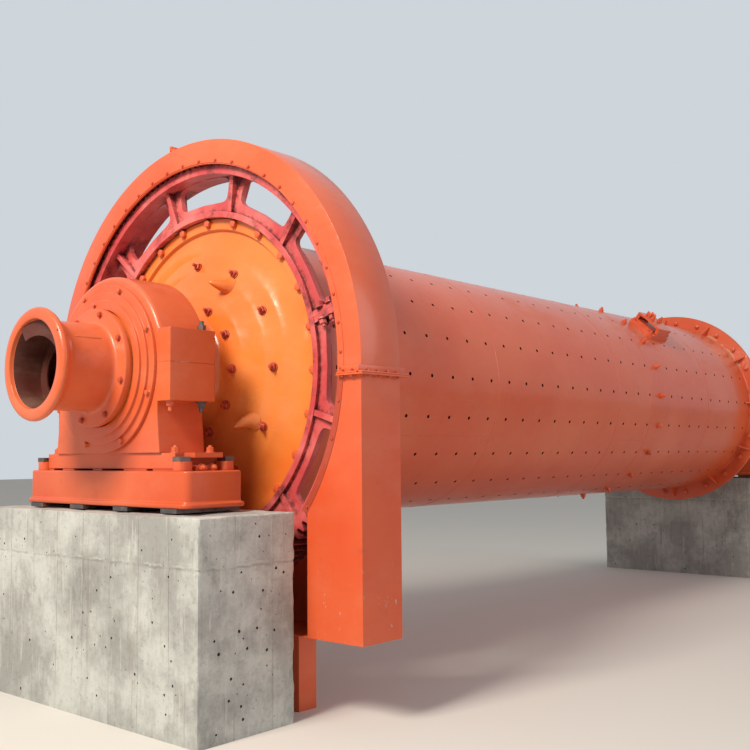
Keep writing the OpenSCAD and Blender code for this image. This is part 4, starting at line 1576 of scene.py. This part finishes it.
@dataclass
class BearingTrim:
    """Bolts, studs and setting screws of one main bearing."""

    finishes: Finishes
    end: End
    face: float = 0.857
    back: float = 0.523
    foot_mid: float = 0.671
    foot_top: float = -0.533
    sole_top: float = -0.639
    ear_out: float = 0.600
    ear_top: float = 0.208
    ear_under: float = -0.224

    def build(self) -> None:
        """Builds the fasteners of the covers, the split joint and the foot."""
        name = self.end.label
        m = self.end.matrix()
        up, aside = Vector((0, 1, 0)), Vector((1, 0, 0))
        w = MeshWriter()
        bolt = Fastener(across=0.030, height=0.018, washer=0.004)
        for sign, z in ((1, self.face + 0.021), (-1, self.back - 0.021)):
            for k in range(8):
                place = polar(0.505, 25 + 45 * k, z)
                bolt.put(w, m @ facing(place, Vector((0, 0, sign)), up), turn=17.0 * k)
        small = Fastener(across=0.022, height=0.014, washer=0.003)
        small.put(w, m @ facing(polar(0.405, 97, self.face + 0.056), Vector((0, 0, 1)), up))
        under = Fastener(across=0.042, height=0.028, washer=0.006, thread=0.030)
        for side in (-1, 1):
            place = Vector((side * self.ear_out, self.ear_under, 0.812))
            under.put(w, m @ facing(place, -up, aside), turn=12)
            for k, z in enumerate((self.foot_mid - 0.040, self.foot_mid + 0.040)):
                screw = Fastener(across=0.036, height=0.024, washer=0.005, thread=0.014)
                place = Vector((side * 0.7665, self.sole_top + 0.018, z))
                screw.put(w, m @ facing(place, Vector((side, 0, 0)), up), turn=33.0 * k)
        anchor = Fastener(across=0.042, height=0.030, washer=0.006, thread=0.010)
        for side in (-1, 1):
            for z in (self.foot_mid - 0.130, self.foot_mid + 0.130):
                place = Vector((side * 0.640, self.foot_top - 0.001, z))
                anchor.put(w, m @ facing(place, up, aside), turn=41)
        w.piece(f"{name}_bearing_bolts", [self.finishes.cast], Body.FIXED)
        w = MeshWriter()
        stud = Fastener(across=0.046, height=0.034, washer=0.006, thread=0.026)
        for side in (-1, 1):
            for y, way in ((self.ear_top, up), (self.ear_under, -up)):
                place = Vector((side * self.ear_out, y, 0.580))
                stud.put(w, m @ facing(place, way, aside), turn=9)
        w.piece(f"{name}_steel_studs", [self.finishes.steel], Body.FIXED, slot=Slot.STEEL)
        w = MeshWriter()
        for side in (-1, 1):
            turned = m @ Matrix.Diagonal((side, 1, 1, 1))
            for low, high, number in (
                ((0.0042, self.back + 0.006), (0.6594, 0.0060, self.face - 0.006), 0),
                ((0.0046, self.face - 0.135), (0.6596, 0.0066, self.face - 0.070), 1),
                ((0.0050, self.face - 0.052), (0.6596, 0.0062, self.face - 0.030), 1),
            ):
                w.block((0.650, *low), high, turned, number)
        w.piece(f"{name}_split_line", [self.finishes.lip, self.finishes.pale_cream], Body.FIXED)


@dataclass
class GearSplit:
    """Bolts through the plates of the girth gear's split joint."""

    finishes: Finishes
    angle: float = 15.0
    plate: float = 0.038
    radii: tuple[float, float] = (1.215, 1.300)
    rows: tuple[float, float] = (0.018, 0.112)

    def build(self) -> None:
        """Builds the joint's bolts on both sides of the split."""
        m = End.NEAR.matrix()
        w = MeshWriter()
        head = Fastener(across=0.046, height=0.028, washer=0.006)
        nut = Fastener(across=0.046, height=0.032, washer=0.006, thread=0.016)
        for base in (self.angle, self.angle + 180):
            turn = m @ Matrix.Rotation(math.radians(base), 4, "Z")
            for r, z in ((r, z) for r in self.radii for z in self.rows):
                for kind, side in ((head, 1), (nut, -1)):
                    place = Vector((r, side * (self.plate - 0.001), z))
                    kind.put(w, turn @ facing(place, Vector((0, side, 0))), turn=50 * r)
        w.piece("gear_split_bolts", [self.finishes.gear], Body.DRUM, slot=Slot.GEAR)


@dataclass
class FormedPier:
    """Concrete pier with the prints of its form boards, air holes and chipped edges."""

    finishes: Finishes
    end: End
    inner: float = 0.311
    width: float = 0.716
    half: float = 1.140
    top: float = 1.221
    board: float = 0.285
    first_board: float = 0.094
    step: float = 0.0145
    cold_joint: float = 0.286
    hole_share: float = 0.006
    front_holes: tuple[tuple[float, float], ...] = (
        (-0.875, -1.212), (-0.845, -1.860), (-0.339, -1.599),
    )
    side_holes: tuple[tuple[float, float], ...] = (
        (0.781, -1.305), (0.560, -1.310), (0.452, -1.203), (0.394, -1.233), (0.741, -1.513),
        (0.598, -1.525), (0.467, -1.543), (0.669, -1.619), (0.523, -1.645), (0.705, -1.993),
        (0.875, -1.626), (0.713, -1.928),
    )

    @property
    def size(self) -> Vector:
        """Size of the pier."""
        return Vector((self.width, 2 * self.half, self.top))

    @property
    def low(self) -> Vector:
        """Lowest corner of the pier in its own frame."""
        return Vector((-self.width / 2, -self.half, 0.0))

    @property
    def mid_x(self) -> float:
        """Place of the pier's middle along X."""
        return self.end.value * (HALF_LEN + self.inner + self.width / 2)

    def depth(self, p: Vector, normal: Vector) -> float:
        """Inward depth of the surface at a place on a face.

        Args:
            p: the place, in the pier's own frame.
            normal: direction that the face looks in.

        Returns:
            The depth in metres.
        """
        d = 0.0008 + 0.0012 * (noise.noise(p * 9.0) + 1)
        d += 0.0035 * max(0.0, noise.noise(p * 2.1 + Vector((5, 0, 3))))
        if abs(normal.z) > 0.5:
            rough = 0.003 * max(0.0, noise.noise(p * 19.0))
            return d + 0.006 * (noise.noise(p * 3.3) + 1) + rough
        along = p.x + p.y + self.mid_x - self.first_board + 40 * self.board
        cell = math.floor(along / self.board)
        d += 0.0014 * noise.noise(Vector((cell * 1.37, 4.2, abs(normal.x))))
        sway = 0.004 * noise.noise(Vector((along * 1.7, 3, 1)))
        under = self.top - self.cold_joint + sway - p.z
        d += 0.003 * max(0.0, 1 - abs(under - 0.004) / 0.018)
        return d + (0.002 if under > 0 else 0.0)

    @staticmethod
    def broken(p: Vector) -> float:
        """Radius by which the nearest edge is rounded or broken at a place."""
        rough = noise.noise(p * 5.0) + 0.6 * noise.noise(p * 15.0)
        fine = 0.004 * noise.noise(p * 40.0)
        return max(0.003, 0.006 + 0.036 * max(0.0, rough - 0.10) ** 1.2 + fine)

    def shape(self, p: Vector) -> Vector:
        """Moves a point of the box inwards by its depth, and breaks the edges.

        Args:
            p: the point, in the pier's own frame.

        Returns:
            Where the point goes.
        """
        high = self.low + self.size
        inner = p.copy()
        r = self.broken(p)
        for k in range(3):
            if k == 2 and p.z < 0.03:
                continue
            inner[k] = min(max(p[k], self.low[k] + r), high[k] - r)
        d = p - inner
        q = inner + d.normalized() * r if sum(abs(c) > 1e-9 for c in d) > 1 else p.copy()
        for k in range(3):
            if k == 2 and p.z <= 1e-9:
                continue
            for edge, sign in ((self.low[k], 1), (high[k], -1)):
                if abs(p[k] - edge) < 1e-6:
                    normal = Vector((0, 0, 0))
                    normal[k] = -sign
                    q[k] += sign * self.depth(p, normal)
        return q

    def hole_places(
        self, axis: int, sign: int, nu: int, nv: int, rng: random.Random
    ) -> dict[tuple[int, int], float]:
        """Chooses the air holes of a face.

        Args:
            axis: axis that the face looks along.
            sign: side of the face.
            nu: steps along the face's first axis.
            nv: steps along its second axis.
            rng: source of chance.

        Returns:
            Radius by the place in the face's grid, never two holes side by side.
        """
        holes: dict[tuple[int, int], float] = {}
        seen = self.end is End.NEAR and sign < 0

        def free(i: int, j: int) -> bool:
            """Says whether a hole fits there."""
            inside = 4 <= i <= nu - 4 and 4 <= j <= nv - 4
            return inside and all(abs(i - a) > 2 or abs(j - b) > 2 for a, b in holes)

        known = (self.front_holes, self.side_holes)[axis] if seen and axis < 2 else ()
        for along, height in known:
            first = along + self.half if axis == 0 else self.width - (along - self.inner)
            i = round(first / (self.size[1 - axis] / nu))
            j = round((AXIS_H + height) / (self.top / nv))
            if free(i, j):
                holes[(i, j)] = rng.uniform(0.0075, 0.0105)
        if axis < 2:
            for _ in range(int(self.hole_share * nu * nv)):
                i, j = rng.randint(4, nu - 4), rng.randint(4, nv - 4)
                if free(i, j):
                    holes[(i, j)] = 0.003 + 0.006 * rng.random() ** 2.2
        return holes

    def hole(
        self, w: MeshWriter, edge: Sequence[Vector], axis: int, sign: int, r: float, rng: random.Random
    ) -> None:
        """Adds a hole like a small bowl within a ring of eight points, its inside in the dark finish of
        painted shade.

        Args:
            w: mesh that takes it.
            edge: the eight points round it, from the lowest corner round the face.
            axis: axis that the face looks along.
            sign: side of the face.
            r: radius of the hole.
            rng: source of chance.
        """
        u, v = [k for k in range(3) if k != axis]
        middle = sum(edge, Vector((0, 0, 0))) / 8
        rings: list[list[Vector]] = [list(edge)]
        wild = [rng.uniform(0.85, 1.2) for _ in range(8)]
        for share, deep in ((1.0, 0.0), (0.86, 0.7), (0.5, 1.5)):
            ring = []
            for k in range(8):
                a = math.radians(-135 + 45 * k)
                p = middle.copy()
                p[u] += r * share * wild[k] * math.cos(a)
                p[v] += r * share * wild[k] * math.sin(a)
                p[axis] = 0.5 * (p[axis] + middle[axis]) - sign * r * deep
                ring.append(p)
            rings.append(ring)
        w.loft(rings[:2], capped=False)
        w.loft(rings[1:], number=1, capped=False)
        w.add(rings[-1], [tuple(range(8))], None, 1)

    def face(self, w: MeshWriter, axis: int, sign: int, rng: random.Random) -> None:
        """Adds one face of the pier with its holes.

        Args:
            w: mesh that takes it.
            axis: axis that the face looks along.
            sign: side of the face.
            rng: source of chance.
        """
        u, v = [k for k in range(3) if k != axis]
        step = self.step if (axis, sign) != (2, -1) else 0.2
        nu, nv = (max(2, round(self.size[k] / step)) for k in (u, v))
        points = []
        for i in range(nu + 1):
            for j in range(nv + 1):
                p = self.low.copy()
                p[u] += self.size[u] * i / nu
                p[v] += self.size[v] * j / nv
                if sign > 0:
                    p[axis] += self.size[axis]
                points.append(self.shape(p))
        holes = self.hole_places(axis, sign, nu, nv, rng) if step == self.step else {}
        taken = {(i - a, j - b) for i, j in holes for a in (0, 1) for b in (0, 1)}
        faces = []
        for i in range(nu):
            for j in range(nv):
                if (i, j) not in taken:
                    a = i * (nv + 1) + j
                    faces.append((a, a + nv + 1, a + nv + 2, a + 1))
        w.add(points, faces)
        round_it = ((-1, -1), (0, -1), (1, -1), (1, 0), (1, 1), (0, 1), (-1, 1), (-1, 0))
        for (i, j), r in holes.items():
            edge = [points[(i + a) * (nv + 1) + j + b] for a, b in round_it]
            self.hole(w, edge, axis, sign, r, rng)

    def build(self) -> None:
        """Builds the pier as one mesh of displaced faces."""
        rng = random.Random(31 if self.end is End.NEAR else 57)
        w = MeshWriter()
        for axis, sign in ((0, -1), (0, 1), (1, -1), (1, 1), (2, 1), (2, -1)):
            self.face(w, axis, sign, rng)
        m = Matrix.Translation(Vector((self.mid_x, 0, 0)))
        w.points = [m @ p for p in w.points]
        w.piece(
            f"{self.end.label}_formed_pier", [self.finishes.concrete, self.finishes.pit_shade],
            Body.FIXED, (f"{self.end.label}_pier",), Slot.CONCRETE, smooth_below=28, weld=2e-5,
        )


@dataclass
class ManholeTrim:
    """Pressing screws, lugs and bolts of the manhole's bridge."""

    finishes: Finishes
    at_x: float = 1.704
    angle: float = 48.0
    top: float = 1.132

    def build(self) -> None:
        """Builds the screws and lugs."""
        axis = Vector((self.at_x, 0, AXIS_H))
        out = on_drum(self.at_x, self.angle, 1.0) - axis
        across = Vector((0, out.z, -out.y))
        w = MeshWriter()
        screw = Fastener(across=0.046, height=0.030, washer=0.008, thread=0.022)
        for dx in (-0.085, 0.085):
            place = on_drum(self.at_x + dx, self.angle, self.top - 0.002)
            screw.put(w, facing(place, out), turn=20)
        frame_bolt = Fastener(across=0.030, height=0.020, washer=0.005)
        for dx in (-0.190, 0.190):
            for turned in (-0.115, 0.0, 0.115):
                x, degrees = self.at_x + dx, self.angle + math.degrees(turned)
                place = on_drum(x, degrees, SHELL_R + 0.045)
                frame_bolt.put(w, facing(place, place - Vector((x, 0, AXIS_H))), turn=35 * turned)
        base = Matrix((Vector((1, 0, 0)), across, out)).transposed().to_4x4()
        base.translation = axis + out * (self.top - 0.003)
        for dx in (-0.045, 0.045):
            m = base @ Matrix.Translation(Vector((dx, 0.085, 0)))
            w.block((-0.009, -0.028, 0), (0.009, 0.028, 0.046), m, 0, 0.004)
        w.piece("manhole_screws", [self.finishes.rolled], Body.DRUM)


def rounded_castings(frame: dict[str, Any], finishes: Finishes) -> None:
    """Puts copies with rounded edges in place of the sharp-edged castings.

    Args:
        finishes: the mill's finishes.
    """
    for end in End:
        for part, width in (
            ("bearing_base", 0.009), ("bearing_cap", 0.007), ("sole_plate", 0.010),
            ("outer_cover", 0.003), ("inner_cover", 0.003),
        ):
            round_copy(frame, f"{end.label}_{part}", width, finishes.cast)
        clamps = f"{end.label}_foot_clamps"
        round_copy(frame, clamps, 0.004, finishes.cast, other=finishes.steel, above=CLAMP_TOP)
    for node in ("gear_upper", "gear_lower"):
        round_copy(frame, node, 0.006, finishes.gear, Body.DRUM)
    for node in ("guard_leg_right", "guard_leg_left"):
        round_copy(frame, node, 0.0025, finishes.legs)
    for node in ("guard_pan", "guard_posts"):
        round_copy(frame, node, 0.0025, finishes.rolled)


def dress_frame(frame: dict[str, Any], finishes: Finishes) -> None:
    """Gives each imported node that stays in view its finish.

    Args:
        finishes: the mill's finishes.
    """
    by_word = (
        ("pier", finishes.concrete), ("packing", finishes.steel), ("bush", finishes.bronze),
        ("gear", finishes.gear), ("guard", finishes.rolled), ("manhole", finishes.rolled),
        ("head", finishes.head),
    )
    for name, obj in frame["nodes"].items():
        material = next((m for word, m in by_word if word in name), finishes.cast)
        if not obj.material_slots:
            obj.data.materials.append(material)
        for slot in obj.material_slots:
            slot.material = material


def main() -> None:
    """Builds the mill's fine pieces in order."""
    logging.basicConfig(level=logging.INFO, format="%(message)s")
    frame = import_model()
    Setting().build()
    finishes = Finishes()
    dress_frame(frame, finishes)
    DrilledShell(finishes).build()
    TurnedHead(finishes, End.NEAR).build()
    TurnedHead(finishes, End.FAR, bolt_phase=8.9).build()
    for end in End:
        Snout(finishes, end).build()
        BearingTrim(finishes, end).build()
        FormedPier(finishes, end).build()
    GearGuard(finishes).build()
    GearSplit(finishes).build()
    ManholeTrim(finishes).build()
    rounded_castings(frame, finishes)


if __name__ == "__main__":
    main()
